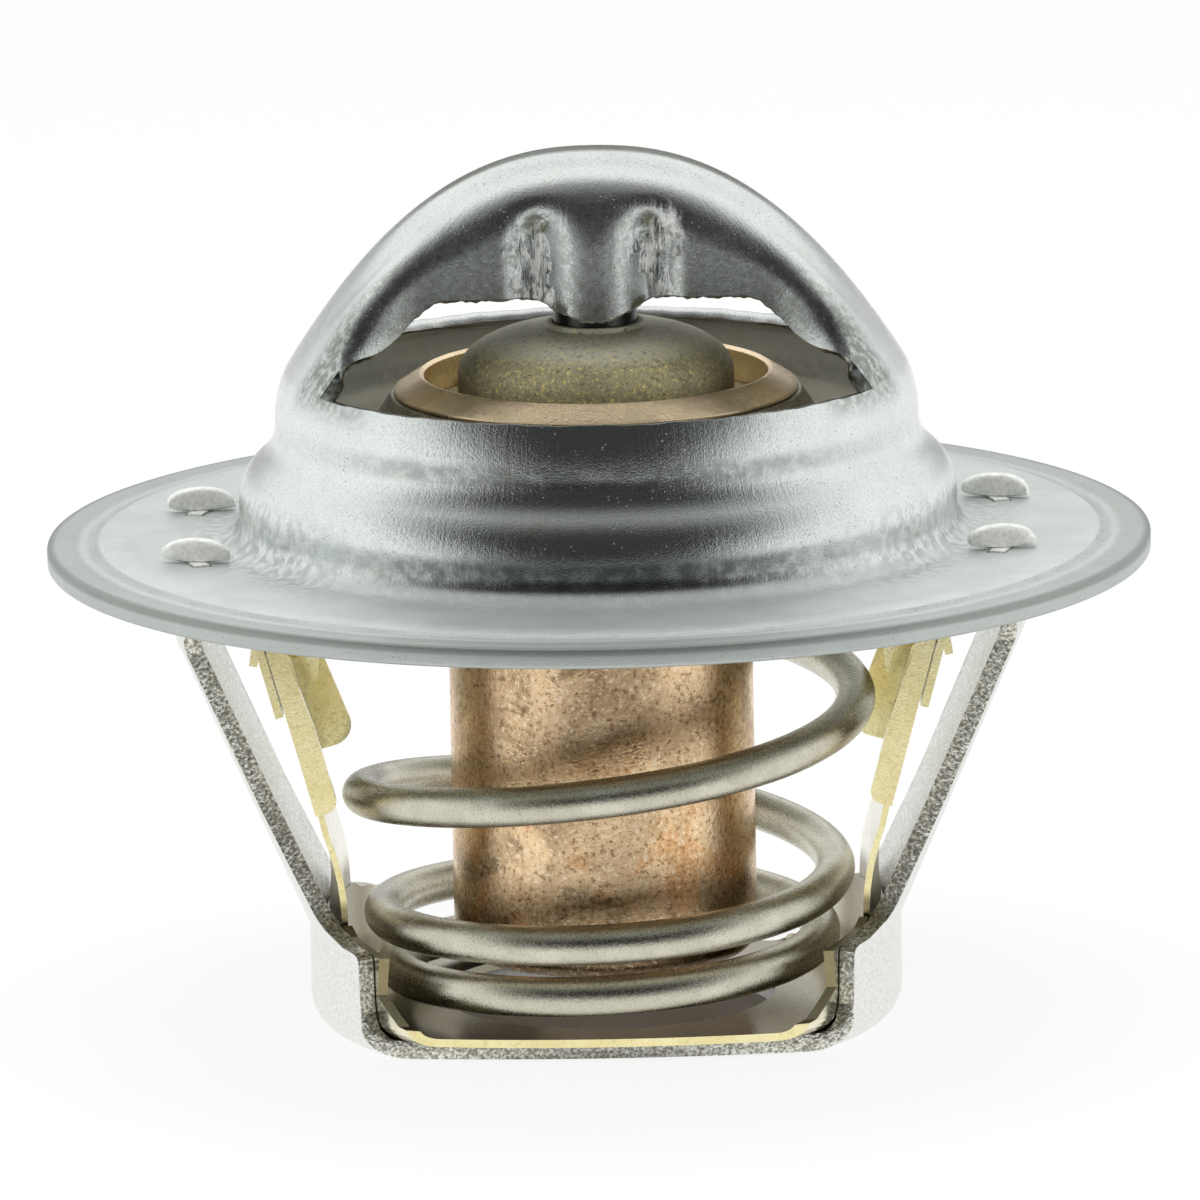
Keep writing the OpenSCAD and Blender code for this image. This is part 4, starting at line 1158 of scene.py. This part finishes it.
def build_floor():
    """A pale floor that keeps the object's shadow. Metal sees it dark far ahead and dim below."""
    z, s = BASE_Z * MM, 1.5
    floor = plain("floor", [(-s, -s, z), (s, -s, z), (s, s, z), (-s, s, z)], [(0, 1, 2, 3)])
    mat = bpy.data.materials.new("floor")
    mat.use_nodes = True
    t = Studio(mat.node_tree)
    x, y, _ = t.parts(t.coords("Object"))
    ahead = t.times(y, -1.0)
    dark = t.times(t.ramp(ahead, FLOOR_LIT, FLOOR_DARK, 0.0, 0.96), t.beside(x, ahead))
    far = t.math("MAXIMUM", t.math("SUBTRACT", 1.0, dark), t.camera_ray)
    seen = t.math("MAXIMUM", t.camera_ray, t.glossy_ray)
    away, hole = t.across(x, y), HOLE_R * MM
    # Metal sees the floor under the object in its shadow
    under = t.math("MAXIMUM", t.ramp(away, hole, 1.5 * hole, 0.3, 1.0), t.camera_ray)
    glow = t.shader("ShaderNodeEmission", 1, t.times(far, under))
    pale = t.shader("ShaderNodeBsdfDiffuse", 0.85)
    out = t.nodes.new("ShaderNodeOutputMaterial")
    share = t.math("MAXIMUM", t.ramp(away, hole, hole + MM, 0.0, 0.86), t.glossy_ray)
    t.links.new(t.mixed(t.times(seen, share), pale, glow), out.inputs["Surface"])
    floor.data.materials.append(mat)


def build_world():
    """White studio, dark where the camera stands and, low down, far behind the object."""
    world = bpy.data.worlds.new("studio")
    bpy.context.scene.world = world
    world.use_nodes = True
    t = Studio(world.node_tree)
    x, y, z = t.parts(t.coords("Generated"))
    # Height over the front horizon, in half turns: 0 ahead, 0.5 straight up, 1 behind
    ahead = t.times(y, -1.0)
    turn = t.math("DIVIDE", t.math("ARCTAN2", z, ahead), math.pi)
    sides = t.beside(x, t.math("ADD", ahead, t.math("MAXIMUM", z, 0.0)))
    dark = t.math("ADD", t.ramp(turn, 0.34, 0.44, 0.97, 0.75), t.ramp(turn, 0.55, 0.64, 0.0, -0.75))
    front = t.math("SUBTRACT", 1.0, t.times(dark, sides))
    behind = t.times(t.ramp(y, 0.85, 0.95), t.ramp(z, 0.2, 0.1))
    shade = t.times(front, t.math("SUBTRACT", 1.0, t.times(behind, 0.88)))
    glossy = t.shader("ShaderNodeBackground", 1, shade)
    soft = t.shader("ShaderNodeBackground", 1, 0.7)
    white = t.shader("ShaderNodeBackground", 1, 1.0)
    light = t.mixed(t.glossy_ray, soft, glossy)
    out = t.nodes.new("ShaderNodeOutputWorld")
    t.links.new(t.mixed(t.camera_ray, light, white), out.inputs["Surface"])


FLOOR_LIT, FLOOR_DARK = 0.085, 0.125
FRONT_FULL, FRONT_GONE = 0.72, 1.12
build_floor()
build_world()


def area_light(name, place, size, power):
    light = bpy.data.lights.new(name, "AREA")
    light.shape, light.size, light.size_y = "RECTANGLE", size[0], size[1]
    light.energy = power
    obj = bpy.data.objects.new(name, light)
    bpy.context.collection.objects.link(obj)
    obj.location = place
    obj.rotation_euler = (-Vector(place)).to_track_quat("-Z", "Y").to_euler()
    obj.visible_glossy = False


area_light("top", (0.0, 0.05, 0.35), (0.30, 0.30), 0.9)
area_light("left", (-0.30, -0.18, 0.14), (0.18, 0.26), 0.5)
area_light("right", (0.30, -0.16, 0.12), (0.18, 0.26), 0.45)

PITCH, ROLL, DISTANCE, CAMERA_UP = 0.21, -0.018, 0.7, 0.145659
FOCAL_PX, FRAME_PX = 14608.7, 1200
camera = bpy.data.cameras.new("camera")
camera.sensor_width = 36
camera.lens = FOCAL_PX / FRAME_PX * camera.sensor_width
camera.clip_end = 10
cam_obj = bpy.data.objects.new("camera", camera)
bpy.context.collection.objects.link(cam_obj)
forward = Vector((0, math.cos(PITCH), -math.sin(PITCH)))
right = Vector((1, 0, 0))
up = right.cross(forward)
right, up = math.cos(ROLL) * right + math.sin(ROLL) * up, math.cos(ROLL) * up - math.sin(ROLL) * right
cam_obj.matrix_world = Matrix(((right.x, up.x, -forward.x, 0), (right.y, up.y, -forward.y, -DISTANCE),
                               (right.z, up.z, -forward.z, CAMERA_UP), (0, 0, 0, 1)))
bpy.context.scene.camera = cam_obj
bpy.context.scene.view_settings.view_transform = "Standard"
